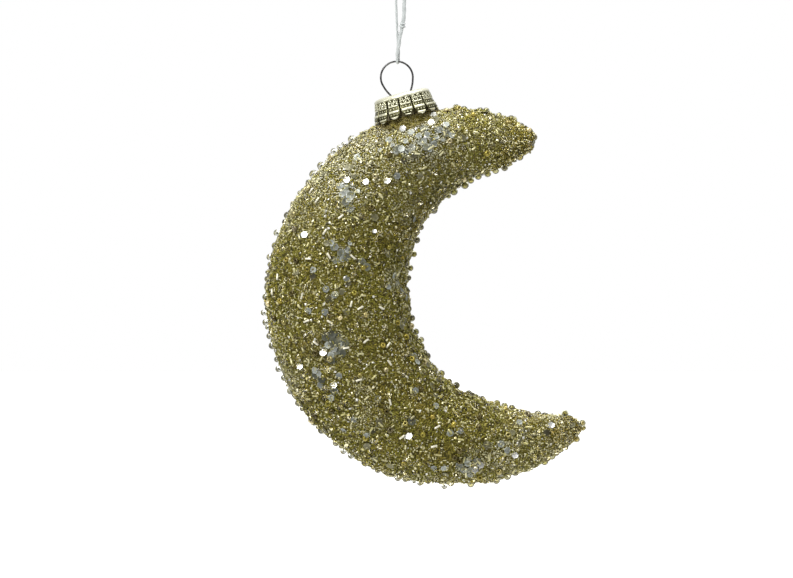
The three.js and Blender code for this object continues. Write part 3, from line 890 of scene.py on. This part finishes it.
def front_sequins():
    """Places, directions, sizes and tints of the sequins that the front shows."""
    r = np.random.default_rng(31)
    p, n = on_front([x[0] for x in listed], [x[1] for x in listed])
    kind = [x[2] for x in listed]
    tilt = tipped(n, math.radians(10), r)
    for i, k in enumerate(kind):
        if k[0] == "b":
            want = half_way + r.normal(size=3) * 0.05
            t = want * 0.85 + n[i] * 0.15
            turn = math.acos(np.clip(t @ n[i] / np.linalg.norm(t), -1, 1))
            share = min(1.0, math.radians(38) / max(turn, 1e-6))
            t = t / np.linalg.norm(t) * share + n[i] * (1 - share)
            tilt[i] = t / np.linalg.norm(t)
    size = np.array([(0.75 if k.endswith("s") else 1.4 if k in "mn" else 1.12) * (0.94 + 0.12 * r.random()) for k in kind])
    tint = np.array([TINT_OF[k[0]] for k in kind]) * (0.65 + 0.7 * r.random((len(kind), 1)))
    lift = lumps(p) + np.array([LIFT_OF[k[0]] for k in kind]) + 0.2 * r.random(len(p))
    return p + n * lift[:, None], tilt, size, np.clip(tint, 0, 1), np.array([k[0] == "b" for k in kind])


def loose_sequins():
    """The rest: over the back in loose clusters, and hazy ones all round, sunk in the crust."""
    r = np.random.default_rng(32)
    angle, turn, _ = spread_even(3400, r)
    p = on_moon(angle, turn)
    behind = np.sin(turn) < -0.12
    cluster = soft_noise(p, 14.0, 23) + 0.25 * r.random(len(p)) > 0.66
    order = np.where(behind & cluster)[0][:420]
    kept = order[apart(p[order], 2.0)[:110]]
    given = np.array([[6.0, -58.0], [-14.0, -72.0], [-26.0, -94.0], [-8.0, -106.0], [-24.0, -124.0], [-2.0, -140.0], [20.0, -152.0], [40.0, -148.0]])
    a2, t2 = front_of_moon(given[:, 0], given[:, 1], back=True)
    hazy = r.permutation(len(p))[:90]
    angle, turn = np.concatenate([a2, angle[kept], angle[hazy]]), np.concatenate([t2, turn[kept], turn[hazy]])
    p, n = on_moon(angle, turn), moon_normal(angle, turn)
    haze = np.arange(len(p)) >= len(a2) + len(kept)
    off, s = neck_place(p)
    clear = ~((off < 10.8) & (s > 45))
    p, n, haze = p[clear], n[clear], haze[clear]
    kind = r.random(len(p))
    bright = (kind < 0.25) & ~haze
    tint = np.where(bright[:, None], BRIGHT, np.where((kind < 0.9)[:, None], FILM, DARK))
    tint = np.where(haze[:, None], HAZE, tint) * (0.85 + 0.3 * r.random((len(p), 1)))
    lift = lumps(p) + np.where(haze, 0.15, np.where(bright, 0.42, 0.24)) + 0.2 * r.random(len(p))
    size = np.where(haze, 1.0 + 0.35 * r.random(len(p)), np.where(r.random(len(p)) < 0.25, 0.75, 1.12))
    return p + n * lift[:, None], tipped(n, math.radians(11), r), size, np.clip(tint, 0, 1), bright


fp, fn, fs, ft, fb = front_sequins()
lp, ln, ls, lt, lb = loose_sequins()
r = np.random.default_rng(33)
sequins_front = sequin_cloud("sequins_front", fp[fb], fn[fb], fs[fb], ft[fb], r, 0.0)
sequins_back = sequin_cloud("sequins_back", lp[lb], ln[lb], ls[lb], lt[lb], r, 0.0)
sequins_film = sequin_cloud(
    "sequins_film", np.vstack([fp[~fb], lp[~lb]]), np.vstack([fn[~fb], ln[~lb]]),
    np.concatenate([fs[~fb], ls[~lb]]), np.vstack([ft[~fb], lt[~lb]]), r, 1.0,
)

# Round seed beads that are scattered over the rest.
def seed_beads():
    r = np.random.default_rng(41)
    angle, turn, _ = spread_even(5200, r)
    q = on_moon(angle, turn)
    off, s = neck_place(q)
    clear = ~((off < 11.2) & (s > 45))
    q, m = q[clear], moon_normal(angle, turn)[clear]
    side = np.abs(m[:, 1])
    lift = lumps(q) + np.where(side < 0.5, 0.0, 0.22) + 0.45 * r.random(len(q)) ** 2
    kept = apart(np.vstack([bead_centres, q + m * lift[:, None]]), 2.05)
    kept = kept[kept >= len(bead_centres)] - len(bead_centres)
    kept = kept[r.random(len(kept)) < np.where(side[kept] < 0.14, 0.06, np.where(side[kept] < 0.6, 0.55, 0.36))]
    size = 0.84 + 0.22 * r.random(len(kept))
    return (q + m * lift[:, None])[kept], m[kept], size, r


seed_places, seed_normals, seed_sizes, r = seed_beads()
shape_v, shape_f = seed_shape()
seed_axes = turned_frames(tipped(seed_normals, math.radians(38), r), r.random(len(seed_places)) * 6.28)
clear_ones = r.random(len(seed_places)) < 0.8
seed_tints = grain_tints(seed_places, r) * [1.0, 0.92, 0.9]
seeds_clear = scatter(
    "seed_beads_clear", shape_v, shape_f, seed_places[clear_ones], seed_axes[clear_ones],
    seed_sizes[clear_ones], np.tile([0.95, 0.92, 0.80], (clear_ones.sum(), 1)),
)
seeds_gold = scatter(
    "seed_beads_gold", shape_v, shape_f, seed_places[~clear_ones], seed_axes[~clear_ones],
    seed_sizes[~clear_ones], seed_tints[~clear_ones],
)

round_v, round_f = icosphere(3)
outline_beads = scatter(
    "outline_beads", round_v, round_f, bead_centres,
    turned_frames(r.normal(size=(len(bead_centres), 3)), r.random(len(bead_centres)) * 6.28), bead_radii,
    np.where(bead_buried[:, None], [0.74, 0.73, 0.56], [0.88, 0.885, 0.82]),
)
# The gold lining of each one's hole, which the glass magnifies.
core_v, core_f = icosphere(2)
outline_linings = scatter(
    "outline_bead_linings", core_v, core_f, bead_centres,
    turned_frames(r.normal(size=(len(bead_centres), 3)), r.random(len(bead_centres)) * 6.28),
    bead_radii[:, None] * np.where(bead_buried, 0.50, 0.23)[:, None] * [1.0, 1.0, 1.15],
    np.where(bead_buried[:, None], grain_tints(bead_centres, r), [0.24, 0.235, 0.18]),
)


def clear_of_beads(p, share=0.88):
    """Which places lie outside the beads of the outline."""
    ok = np.ones(len(p), bool)
    for centre, radius in zip(bead_centres, bead_radii):
        ok &= ((p - centre) ** 2).sum(1) > (share * radius) ** 2
    return ok


# Bugle beads: the brightest of the front first, with the way each one lies.
FRONT_BUGLES = [
    (325, 232, 60), (309, 259, -4), (310, 262, -4), (329, 256, -60), (353, 257, -40), (279, 277, -68),
    (273, 292, -65), (360, 308, 30), (381, 308, -20), (307, 321, 20), (351, 304, 75), (346, 348, 10),
    (316, 343, -35), (388, 345, 50), (359, 380, 15), (367, 381, 80), (389, 363, -50), (326, 225, -15),
    (317, 200, 60), (311, 190, 60), (341, 217, 40), (345, 214, 45), (437, 427, 30), (434, 446, 15),
    (435, 448, 15), (402, 437, 40), (390, 402, -75), (366, 341, 35), (302, 296, 70), (330, 322, -30),
]


def bugles():
    r = np.random.default_rng(51)
    p, n = on_front([b[0] for b in FRONT_BUGLES], [b[1] for b in FRONT_BUGLES])
    slope = np.radians([b[2] for b in FRONT_BUGLES])
    along = np.stack([np.cos(slope), np.zeros(len(p)), np.sin(slope)], 1)
    angle, turn, _ = spread_even(5000, r)
    q, m = on_moon(angle, turn), moon_normal(angle, turn)
    off, s = neck_place(q)
    clear = ~((off < 10.2) & (s > 45))
    q, m = q[clear], m[clear]
    places, normals = np.vstack([p, q]), np.vstack([n, m])
    kept = apart(places, 2.9)
    kept = kept[:430]
    ways = np.vstack([along, r.normal(size=(len(q), 3))])
    places, normals, ways = places[kept], normals[kept], ways[kept]
    given = kept < len(p)
    ways -= normals * (ways * normals).sum(1)[:, None]
    ways /= np.linalg.norm(ways, axis=1)[:, None]
    ways = ways + normals * (r.normal(size=len(ways)) * np.where(given, 0.05, 0.24))[:, None]
    ways /= np.linalg.norm(ways, axis=1)[:, None]
    third = normals - ways * (normals * ways).sum(1)[:, None]
    third /= np.linalg.norm(third, axis=1)[:, None]
    axes = np.stack([ways, np.cross(third, ways), third], 1)
    lift = lumps(places) + np.where(given, 0.52, 0.12 + 0.42 * r.random(len(places)))
    places = places + normals * lift[:, None]
    ok = clear_of_beads(places, 1.3)
    places, axes, given = places[ok], axes[ok], given[ok]
    long = np.where(given, 1.0, 0.55 + 0.5 * r.random(len(places)))
    size = np.stack([long, np.full(len(places), 0.32), np.full(len(places), 0.32)], 1)
    # The listed bugles are tinted near white for their bright streaks, a painted highlight; the rest mix the crust's
    # tint with the pale glint cream.
    tint = np.where(given[:, None], [0.98, 0.94, 0.76], grain_tints(places, r) * 0.5 + PALE_GLINT * 0.5)
    v, f = bugle_shape()
    return scatter("bugle_beads", v, f, places, axes, size, tint)


bugle_beads = bugles()


# Fine round grains of glass and foil chips fill the rest.
def fine_grains():
    r = np.random.default_rng(61)
    angle, turn, _ = spread_even(210000, r)
    p = on_moon(angle, turn)
    n = moon_normal(angle, turn)
    off, s = neck_place(p)
    clear = ~((off < COLLAR_R + 0.9) & (s > 45))
    p, n = p[clear], n[clear]
    kept = apart(p, 0.46)
    p, n = p[kept], n[kept]
    rise = lumps(p)
    p = p + n * (rise - 0.12 + 0.30 * r.random(len(p)))[:, None]
    azimuth = r.random(9000) * 2 * math.pi
    share = r.random(9000) ** 0.8
    c, out = collar_point(azimuth, share)
    kept = apart(c, 0.5)
    c, out = c[kept], out[kept] + AXIS * 0.3
    out /= np.linalg.norm(out, axis=1)[:, None]
    c = c + out * (0.02 + 0.2 * r.random(len(c)))[:, None]
    p, n = np.vstack([p, c]), np.vstack([n, out])
    ok = clear_of_beads(p)
    return p[ok], n[ok], r


grain_places, grain_normals, r = fine_grains()
order = r.random(len(grain_places))
ball_v, ball_f = icosphere(1)
chip_v, chip_f = chip_shape()
grain_pieces = []
GRAIN_PIECES, GRAIN_SHARE = 6, 0.95
for k in range(GRAIN_PIECES):
    mine = (order >= GRAIN_SHARE * k / GRAIN_PIECES) & (order < GRAIN_SHARE * (k + 1) / GRAIN_PIECES)
    p, n = grain_places[mine], grain_normals[mine]
    axes = turned_frames(tipped(n, 1.2, r), r.random(len(p)) * 6.28)
    size = (0.22 + 0.10 * r.random(len(p)))[:, None] * (1 + 0.12 * r.normal(size=(len(p), 3)))
    grain_pieces.append(scatter(f"gold_grains_{k + 1}", ball_v, ball_f, p, axes, size, grain_tints(p, r)))
mine = order >= GRAIN_SHARE
p, n = grain_places[mine], grain_normals[mine]
fine_v, fine_f = icosphere(2)
clear_grains = scatter(
    "clear_grains", fine_v, fine_f, (p + n * 0.2)[:2000], turned_frames(n, r.random(len(p)) * 6.28)[:2000],
    (0.32 + 0.10 * r.random(len(p)))[:2000], np.tile([0.95, 0.92, 0.80], (min(len(p), 2000), 1)),
)


def slivers():
    """Short rods of glass that lie among the grains."""
    r = np.random.default_rng(65)
    angle, turn, _ = spread_even(9000, r)
    p, n = on_moon(angle, turn), moon_normal(angle, turn)
    off, s = neck_place(p)
    clear = ~((off < 9.6) & (s > 45))
    p, n = p[clear], n[clear]
    kept = apart(p, 1.25)[:4600]
    p, n = p[kept], n[kept]
    way = r.normal(size=p.shape)
    way -= n * (way * n).sum(1)[:, None]
    way /= np.linalg.norm(way, axis=1)[:, None]
    way += n * (r.normal(size=len(p)) * 0.2)[:, None]
    way /= np.linalg.norm(way, axis=1)[:, None]
    third = n - way * (n * way).sum(1)[:, None]
    third /= np.linalg.norm(third, axis=1)[:, None]
    axes = np.stack([way, np.cross(third, way), third], 1)
    thick = 0.15 + 0.05 * r.random(len(p))
    size = np.stack([0.36 + 0.34 * r.random(len(p)), thick, thick], 1)
    # Two in five slivers take the pale cream that stands in for glints: a painted highlight.
    tint = np.where((r.random(len(p)) < 0.42)[:, None], PALE_GLINT * painted_light_and_shade(p), grain_tints(p, r)) * (0.72 + 0.3 * r.random((len(p), 1)))
    v, f = sliver_shape()
    places = p + n * (lumps(p) + 0.12 + 0.16 * r.random(len(p)))[:, None]
    ok = clear_of_beads(places, 1.0)
    return scatter("glass_slivers", v, f, places[ok], axes[ok], size[ok], np.clip(tint, 0, 1)[ok])


glass_slivers = slivers()


def foil_chips():
    r = np.random.default_rng(71)
    angle, turn, _ = spread_even(9000, r)
    p, n = on_moon(angle, turn), moon_normal(angle, turn)
    off, s = neck_place(p)
    clear = ~((off < 9.5) & (s > 45))
    p, n = p[clear], n[clear]
    kept = apart(p, 1.15)
    p, n = p[kept], n[kept]
    roll = r.random(len(p))
    g = greyness(p)
    tint = np.where((roll < 0.55)[:, None], [0.80, 0.75, 0.46], np.where((roll < 0.72)[:, None], [0.86, 0.85, 0.78], [0.25, 0.2, 0.06]))
    tint = tint * (1 - 0.5 * g[:, None]) + np.array([0.75, 0.77, 0.80]) * 0.5 * g[:, None]
    size = (0.22 + 0.36 * r.random(len(p)) ** 2)
    lift = lumps(p) + 0.18 + 0.22 * r.random(len(p))
    axes = turned_frames(tipped(n, math.radians(24), r), r.random(len(p)) * 6.28)
    places = p + n * lift[:, None]
    ok = clear_of_beads(places, 1.05)
    return scatter("foil_chips", chip_v, chip_f, places[ok], axes[ok], size[ok], tint[ok], smooth=False)


chips = foil_chips()

# -------------------------------------------------------------- crown cap
def cap_radius(z):
    """The outer face of the cap's side at a height over its lower edge."""
    return np.interp(z, [-1.6, 0.0, 0.8, 3.1, 5.6, 6.25], [10.30, 10.30, 10.15, 9.25, 8.75, 8.68])


def smooth_step(x):
    x = np.clip(x, 0, 1)
    return x * x * (3 - 2 * x)


def petal_relief(across, z):
    """Pressed pattern of one petal in millimetres: bars, rows of beads, and curls under the shoulder."""
    inside = smooth_step((0.94 - np.abs(across)) / 0.16)
    height = np.zeros_like(z)
    for zc, half in ((3.42, 0.24), (1.72, 0.40), (-0.15, 0.30)):
        height = np.maximum(height, 0.26 * smooth_step(1.25 - np.abs(z - zc) / half) * inside)
    for zc in (2.62, 0.78):
        for c in (-0.52, 0.0, 0.52):
            d = np.hypot((across - c) * 1.95, z - zc)
            height = np.maximum(height, 0.20 * smooth_step(1.2 - d / 0.24))
    for c, zc in ((-0.5, 4.95), (0.42, 5.0), (-0.05, 4.15), (0.85, 4.2), (-0.88, 4.1)):
        d = np.hypot((across - c) * 1.95, z - zc)
        height = np.maximum(height, 0.26 * smooth_step(1.3 - np.abs(d - 0.40) / 0.15))
    rim = smooth_step((np.abs(across) - 0.80) / 0.10) * 0.10
    return np.maximum(height, rim)


PETALS, FIRST_SLIT = 14, -9.2


def cap_piece():
    r = np.random.default_rng(81)
    points, faces, heights = [], [], []

    def add(grid, hs, order):
        start = sum(len(x) for x in points)
        rows, cols = grid.shape[:2]
        points.append(grid.reshape(-1, 3))
        heights.append(hs.reshape(-1))
        for i in range(rows - 1):
            for j in range(cols - 1):
                a = start + i * cols + j
                f = (a, a + 1, a + cols + 1, a + cols)
                faces.append(f if order else f[::-1])
        return start, rows, cols

    def local(radius, azimuth, z):
        return np.stack([radius * np.sin(azimuth), -radius * np.cos(azimuth), z], -1)

    step = 2 * math.pi / PETALS
    rows, cols = 58, 31
    for k in range(PETALS):
        middle = math.radians(FIRST_SLIT) + (k + 0.5) * step
        drop = 0.35 + 0.75 * r.random()
        if k == 0:
            drop = 0.15
        bow = r.normal() * 0.18
        v = np.linspace(0, 1, rows)
        tip = -drop
        z = 5.95 + (tip - 5.95) * v
        shoulder = 1.55
        u = np.clip((shoulder - z) / (shoulder - tip), 0, 1)
        narrow = np.sqrt(np.clip(1 - u**1.55, 0, 1))
        half = (step / 2 - 0.20 / 9.6) * np.maximum(narrow, 0.02)
        lean = 1 - 0.02 * r.random()
        a = np.linspace(-1, 1, cols)
        A, Z = np.meshgrid(a, z)
        azimuth = middle + A * half[:, None]
        base = cap_radius(Z)
        curl = -0.12 * u[:, None] ** 2 * (0.6 + bow)
        relief = np.maximum(petal_relief(A * narrow[:, None], Z), 0.2 * smooth_step((u[:, None] - 0.80) / 0.08))
        edge = smooth_step((1 - np.abs(A)) / 0.10)
        # The lower rim of each tip is painted lighter; the long slits, and the inner face below, get no relief and are
        # painted dark as shade.
        bright = 0.19 * (1 - edge) * smooth_step((0.5 - Z) / 0.5)
        outer = base + curl + relief * edge - 0.12 * (1 - edge)
        inner = base + curl - 0.34
        s0, rws, cls = add(local(outer * lean, azimuth, Z), relief * edge + bright, True)
        s1, _, _ = add(local(inner * lean, azimuth, Z), np.full(Z.shape, -0.1), False)
        loop = (
            [j for j in range(cls)]
            + [i * cls + cls - 1 for i in range(1, rws)]
            + [(rws - 1) * cls + j for j in range(cls - 2, -1, -1)]
            + [i * cls for i in range(rws - 2, 0, -1)]
        )
        for i, p in enumerate(loop):
            q = loop[(i + 1) % len(loop)]
            faces.append((s0 + q, s0 + p, s1 + p, s1 + q))
    # The top and shoulder, one closed shell of revolution.
    profile = [
        (0.0, 6.62), (3.9, 6.62), (4.15, 6.58), (6.1, 6.58), (6.5, 6.56), (7.2, 6.46), (7.85, 6.22), (8.22, 5.9), (8.34, 5.55),
        (8.44, 5.52), (8.78, 5.58), (8.86, 5.78), (8.83, 6.0), (8.70, 6.25), (8.46, 6.50), (8.12, 6.70), (7.62, 6.85), (7.0, 6.94),
        (6.4, 6.98), (5.85, 7.0), (5.6, 6.95), (4.2, 6.93), (3.95, 6.96), (3.7, 6.99), (0.0, 7.0),
    ]
    around = 112
    a = np.arange(around + 1) * 2 * math.pi / around
    profile = np.array(profile)
    R, A = np.meshgrid(profile[:, 0], a, indexing="ij")
    Zp, _ = np.meshgrid(profile[:, 1], a, indexing="ij")
    add(local(R, A, Zp), np.where(R < 7.3, 0.145, 0.2), True)
    pts = np.vstack(points)
    world = CENTRE + pts[:, :1] * ACROSS + pts[:, 1:2] * np.array([0, 1.0, 0]) + (CAP_BOTTOM + pts[:, 2:3]) * AXIS
    o = mesh_object("crown_cap_pressed", world, faces)
    # The relief heights, which the cap's material paints as shade in the hollows and lighter on the raised parts.
    worn = o.data.attributes.new("relief", "FLOAT", "POINT")
    worn.data.foreach_set("value", np.concatenate(heights).astype(np.float32))
    weld = o.modifiers.new("weld", "WELD")
    weld.merge_threshold = 2e-6
    return applied(o)


crown = cap_piece()


def cut_wire_holes(o):
    """The two holes that the hanger's legs pass through."""
    cutters = []
    for side in (-1, 1):
        a = np.arange(24) / 24 * 2 * math.pi
        ring = lambda s: CENTRE + ACROSS * (side * 3.02 + 0.62 * np.cos(a))[:, None] + np.array([0, 1.0, 0]) * (0.62 * np.sin(a))[:, None] + AXIS * s
        top, low = ring(67.2), ring(63.5)
        faces = [(i, (i + 1) % 24, 24 + (i + 1) % 24, 24 + i) for i in range(24)]
        faces += [tuple(range(24))[::-1], tuple(range(24, 48))]
        c = mesh_object(f"hole_{side + 1}", np.vstack([top, low]), faces, False)
        cutters.append(c)
        m = o.modifiers.new("hole", "BOOLEAN")
        m.operation, m.object, m.solver = "DIFFERENCE", c, "EXACT"
    applied(o)
    for c in cutters:
        bpy.data.objects.remove(c)
    return o


# ------------------------------------------------------------- hanger wire
RING_R, RING_S = 5.0, CAP_BOTTOM + CAP_HEIGHT + 5.24
LEG = [
    (4.0, -26.4), (5.35, -22.5), (5.85, -17.5), (5.3, -12.0), (3.9, -8.6), (3.08, -7.1), (2.88, -6.0),
    (3.06, -5.3), (3.5, -4.5), (3.98, -3.62), (4.4, -2.65),
]


def neck_point(x, s):
    return CENTRE + ACROSS * x + AXIS * s


def wire_piece():
    route = [neck_point(-x, RING_S + s) for x, s in LEG]
    for turn in range(200, -21, -10):
        a = math.radians(turn)
        route.append(neck_point(RING_R * math.cos(a), RING_S + RING_R * math.sin(a)))
    route += [neck_point(x, RING_S + s) for x, s in reversed(LEG)]
    line, tangent, way = catmull(route, 420)
    side, other = frames_along(tangent, np.array([0, 1.0, 0]))
    a = np.arange(20) / 20 * 2 * math.pi
    total = way[-1]

    def outline(i):
        end = min(way[i], total - way[i])
        r = 0.3 * math.sqrt(max(1 - (1 - min(end / 0.3, 1)) ** 2, 0.04))
        return np.stack([r * np.cos(a), r * np.sin(a)], 1)

    return tube("hanger_wire_drawn", line, side, other, outline)


wire = wire_piece()

# --------------------------------------------------------------- materials
# Thread: soft off-white fibres, greyer between the plies.
thread = Shader("thread_white", roughness=0.85)
place = thread.place()
fibre = thread.noise(5200.0, 4.0, place=thread.node("ShaderNodeMapping", {"Vector": place}, Scale=(1.0, 1.0, 0.18)).outputs["Vector"])
thread.colour(thread.ramp(fibre.outputs["Fac"], [(0.3, (0.46, 0.49, 0.49)), (0.7, (0.60, 0.635, 0.635))]))
thread.bump(fibre.outputs["Fac"], 0.3, 0.0001)
thread.main.inputs["Sheen Weight"].default_value = 0.1

# Gold of the crust, from the tint that each grain carries, which holds painted light and shade and painted glints as
# well.
def tinted(name, metallic, roughness, coat=0.0, vary=0.25, scale=2600.0):
    s = Shader(name, metallic=metallic, roughness=roughness)
    s.main.inputs["Coat Weight"].default_value = coat
    s.main.inputs["Coat Roughness"].default_value = 0.04
    tint = s.attribute("tint").outputs["Color"]
    fine = s.noise(scale, 2.0)
    shade = s.ramp(fine.outputs["Fac"], [(0.3, (1 - vary,) * 3), (0.7, (1.0, 1.0, 1.0))])
    s.colour(s.mix(1.0, tint, shade, "MULTIPLY"))
    return s


grains = tinted("gold_grains", 0.45, 0.39, 0.05)
seed_gold = tinted("seed_bead_gold", 0.5, 0.16, 0.3)
bugle = tinted("bugle_lined_glass", 0.35, 0.32, 0.15)
foil = tinted("foil_chips", 0.9, 0.36, 0.0)
sequin_foil = tinted("sequin_foil", 0.75, 0.22, 0.0, vary=0.14, scale=900.0)
sequin_film = tinted("sequin_film", 0.25, 0.36, 0.0, vary=0.42, scale=1500.0)

# Glass of the outline's beads: champagne, with a thin pale lining.
lined = tinted("bead_champagne_glass", 0.0, 0.03, vary=0.15, scale=900.0)
lined.main.inputs["Transmission Weight"].default_value = 0.94
lined.main.inputs["IOR"].default_value = 1.5

clear = Shader("clear_glass", transmission_weight=1.0, roughness=0.03)
clear.main.inputs["IOR"].default_value = 1.5
fine = clear.noise(1400.0, 2.0)
clear.colour(clear.ramp(fine.outputs["Fac"], [(0.35, (0.86, 0.81, 0.56)), (0.65, (0.95, 0.92, 0.76))]))

# Skin: glue set with fine glitter, dark between the grains.
skin = Shader("glitter_glue", metallic=0.5, roughness=0.34)
cell = skin.voronoi(3600.0)
broad = skin.noise(260.0, 3.0)
fleck = skin.ramp(cell.outputs["Color"], [
    (0.0, (0.08, 0.07, 0.01)), (0.45, (0.19, 0.165, 0.025)), (0.75, (0.34, 0.29, 0.05)), (1.0, (0.66, 0.61, 0.28)),
])
skin.colour(skin.mix(1.0, fleck, skin.ramp(broad.outputs["Fac"], [(0.3, (0.7, 0.68, 0.6)), (0.7, (1.0, 1.0, 1.0))]), "MULTIPLY"))
skin.bump(cell.outputs["Distance"], 0.8, 0.00015)

# Cap: bright champagne gold sheet; the relief heights are painted into it as shade, dark in the pressed hollows, the
# slits and the inner face, lighter on the raised pattern and the tip rims.
cap_gold = Shader("cap_champagne_gold", metallic=0.7, roughness=0.2)
relief = cap_gold.attribute("relief").outputs["Fac"]
worn = cap_gold.noise(900.0, 4.0)
depth = cap_gold.ramp(cap_gold.math("MULTIPLY", relief, 4.0), [(0.0, (0.07, 0.066, 0.022)), (0.4, (0.42, 0.415, 0.25)), (0.8, (0.88, 0.875, 0.69)), (1.0, (0.84, 0.835, 0.64))])
cap_gold.colour(cap_gold.mix(1.0, depth, cap_gold.ramp(worn.outputs["Fac"], [(0.3, (0.88, 0.87, 0.84)), (0.7, (1.0, 1.0, 1.0))]), "MULTIPLY"))
cap_gold.rough(cap_gold.ramp(worn.outputs["Fac"], [(0.3, (0.22,) * 3), (0.7, (0.34,) * 3)]))
cap_gold.bump(worn.outputs["Fac"], 0.15, 0.0001)

# Wire: dark drawn spring steel.
steel = Shader("hanger_steel", metallic=1.0, roughness=0.3)
drawn = steel.noise(1500.0, 3.0)
steel.colour(steel.ramp(drawn.outputs["Fac"], [(0.3, (0.07, 0.07, 0.072)), (0.7, (0.17, 0.17, 0.172))]))
steel.rough(steel.ramp(drawn.outputs["Fac"], [(0.3, (0.24,) * 3), (0.7, (0.38,) * 3)]))

# Blown glass of the moon: seen only at its neck, silvered inside.
blown = Shader("blown_glass_silvered", metallic=0.75, roughness=0.1)
blown.main.inputs["Coat Weight"].default_value = 1.0
wave = blown.noise(120.0, 2.0)
blown.colour(blown.ramp(wave.outputs["Fac"], [(0.3, (0.30, 0.25, 0.11)), (0.7, (0.44, 0.38, 0.20))]))
blown.bump(wave.outputs["Fac"], 0.2, 0.0005)


def dress(o, shader):
    o.data.materials.clear()
    o.data.materials.append(shader.mat)


crown = cut_wire_holes(crown)
for o, shader, slot in (
    (string_loop, thread, "string_white"), (knot, thread, "string_white"), (string_bight, thread, "string_white"),
    (crust_skin, skin, "bead_crust"), (crust_collar, skin, "bead_crust"),
    (sequins_front, sequin_foil, "sequin_silver"), (sequins_back, sequin_foil, "sequin_silver"),
    (sequins_film, sequin_film, "sequin_silver"), (glass_slivers, bugle, "bead_crust"),
    (outline_beads, lined, "bead_clear"), (outline_linings, seed_gold, "bead_crust"), (seeds_clear, clear, "bead_clear"), (seeds_gold, seed_gold, "bead_crust"), (bugle_beads, bugle, "bead_crust"),
    (clear_grains, clear, "bead_clear"), (chips, foil, "bead_crust"),
    *((g, grains, "bead_crust") for g in grain_pieces),
    (crown, cap_gold, "cap_gold"), (wire, steel, "hanger_wire"),
):
    dress(o, shader)
dress(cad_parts["glass_moon"], blown)

# ------------------------------------------------------------------ bodies
for o in (
    crust_skin, crust_collar, sequins_front, sequins_back, sequins_film, outline_beads, outline_linings, seeds_clear, seeds_gold, bugle_beads, clear_grains,
    glass_slivers, chips, *grain_pieces,
):
    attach(o, "moon")
for o in (crown, wire):
    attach(o, "hanger_and_cap")
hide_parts("bead_coat")
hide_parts(*[f"sequin_front_{i:02d}" for i in range(1, 20)])
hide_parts(*[f"sequin_back_{i:02d}" for i in range(1, 9)])
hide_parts(*[f"edge_bead_{i:02d}" for i in range(1, 6)])
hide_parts("crown_cap")
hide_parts("wire_hanger")

# ------------------------------------------------------------ floor, lights
floor_points = [(-6000, -6000, -232), (6000, -6000, -232), (6000, 6000, -232), (-6000, 6000, -232)]
floor = mesh_object("floor", floor_points, [(0, 1, 2, 3)], False)
pale = Shader("floor_pale", roughness=0.9)
grain = pale.noise(6.0, 2.0)
pale.colour(pale.ramp(grain.outputs["Fac"], [(0.3, (0.90, 0.90, 0.90)), (0.7, (0.92, 0.92, 0.92))]))
pale.main.inputs["Emission Color"].default_value = (1, 1, 1, 1)
pale.main.inputs["Emission Strength"].default_value = 0.75
dress(floor, pale)
floor.visible_diffuse = floor.visible_glossy = floor.visible_shadow = False

world = bpy.data.worlds.new("studio")
scene.world = world
world.use_nodes = True
nodes, links = world.node_tree.nodes, world.node_tree.links
nodes.clear()
direction = nodes.new("ShaderNodeTexCoord")
split = nodes.new("ShaderNodeSeparateXYZ")
links.new(direction.outputs["Generated"], split.inputs[0])


def world_ramp(socket, low, high, stops):
    scaled = nodes.new("ShaderNodeMapRange")
    scaled.inputs["From Min"].default_value, scaled.inputs["From Max"].default_value = low, high
    links.new(socket, scaled.inputs["Value"])
    ramp = nodes.new("ShaderNodeValToRGB")
    links.new(scaled.outputs[0], ramp.inputs[0])
    while len(ramp.color_ramp.elements) < len(stops):
        ramp.color_ramp.elements.new(0.5)
    for e, (at, c) in zip(ramp.color_ramp.elements, stops):
        e.position, e.color = at, (*c, 1)
    return ramp.outputs[0]


# Dim on the camera's side, bright behind and above.
sides = world_ramp(split.outputs["Y"], -1, 1, [(0.0, (0.11, 0.108, 0.10)), (0.35, (0.23, 0.225, 0.215)), (0.84, (0.30, 0.30, 0.29)), (0.93, (0.85, 0.85, 0.85))])
above = world_ramp(split.outputs["Z"], -1, 1, [(0.0, (2.0, 2.0, 1.96)), (0.42, (0.16, 0.16, 0.16)), (0.5, (0.03, 0.03, 0.03)), (0.62, (0.14, 0.14, 0.14)), (1.0, (1.25, 1.25, 1.22))])
both = nodes.new("ShaderNodeMix")
both.data_type, both.blend_type = "RGBA", "ADD"
both.inputs[0].default_value = 1.0
links.new(sides, both.inputs[6])
links.new(above, both.inputs[7])
lit = nodes.new("ShaderNodeBackground")
links.new(both.outputs[2], lit.inputs["Color"])
lit.inputs["Strength"].default_value = 0.67
white = nodes.new("ShaderNodeBackground")
white.inputs["Color"].default_value = (1, 1, 1, 1)
white.inputs["Strength"].default_value = 1.0
seen = nodes.new("ShaderNodeLightPath")
choice = nodes.new("ShaderNodeMixShader")
links.new(seen.outputs["Is Camera Ray"], choice.inputs[0])
links.new(lit.outputs[0], choice.inputs[1])
links.new(white.outputs[0], choice.inputs[2])
output = nodes.new("ShaderNodeOutputWorld")
links.new(choice.outputs[0], output.inputs[0])


def area_light(name, place, target, size, power, colour=(1, 1, 1)):
    data = bpy.data.lights.new(name, "AREA")
    data.shape, data.size, data.energy, data.color = "SQUARE", size, power, colour
    o = bpy.data.objects.new(name, data)
    o.location = place
    o.rotation_euler = (Vector(target) - Vector(place)).to_track_quat("-Z", "Y").to_euler()
    scene.collection.objects.link(o)
    return o


aim = (0.005, 0, -0.10)
area_light("key", (-0.42, -0.62, 0.48), aim, 0.42, 6.2, (1.0, 0.99, 0.97))
area_light("fill", (0.75, -0.55, 0.05), aim, 0.40, 1.2)
area_light("left", (-0.85, -0.25, 0.05), aim, 0.45, 1.3)
area_light("top", (0.05, 0.10, 0.85), aim, 0.55, 7.0)

scene.view_settings.view_transform = "Standard"
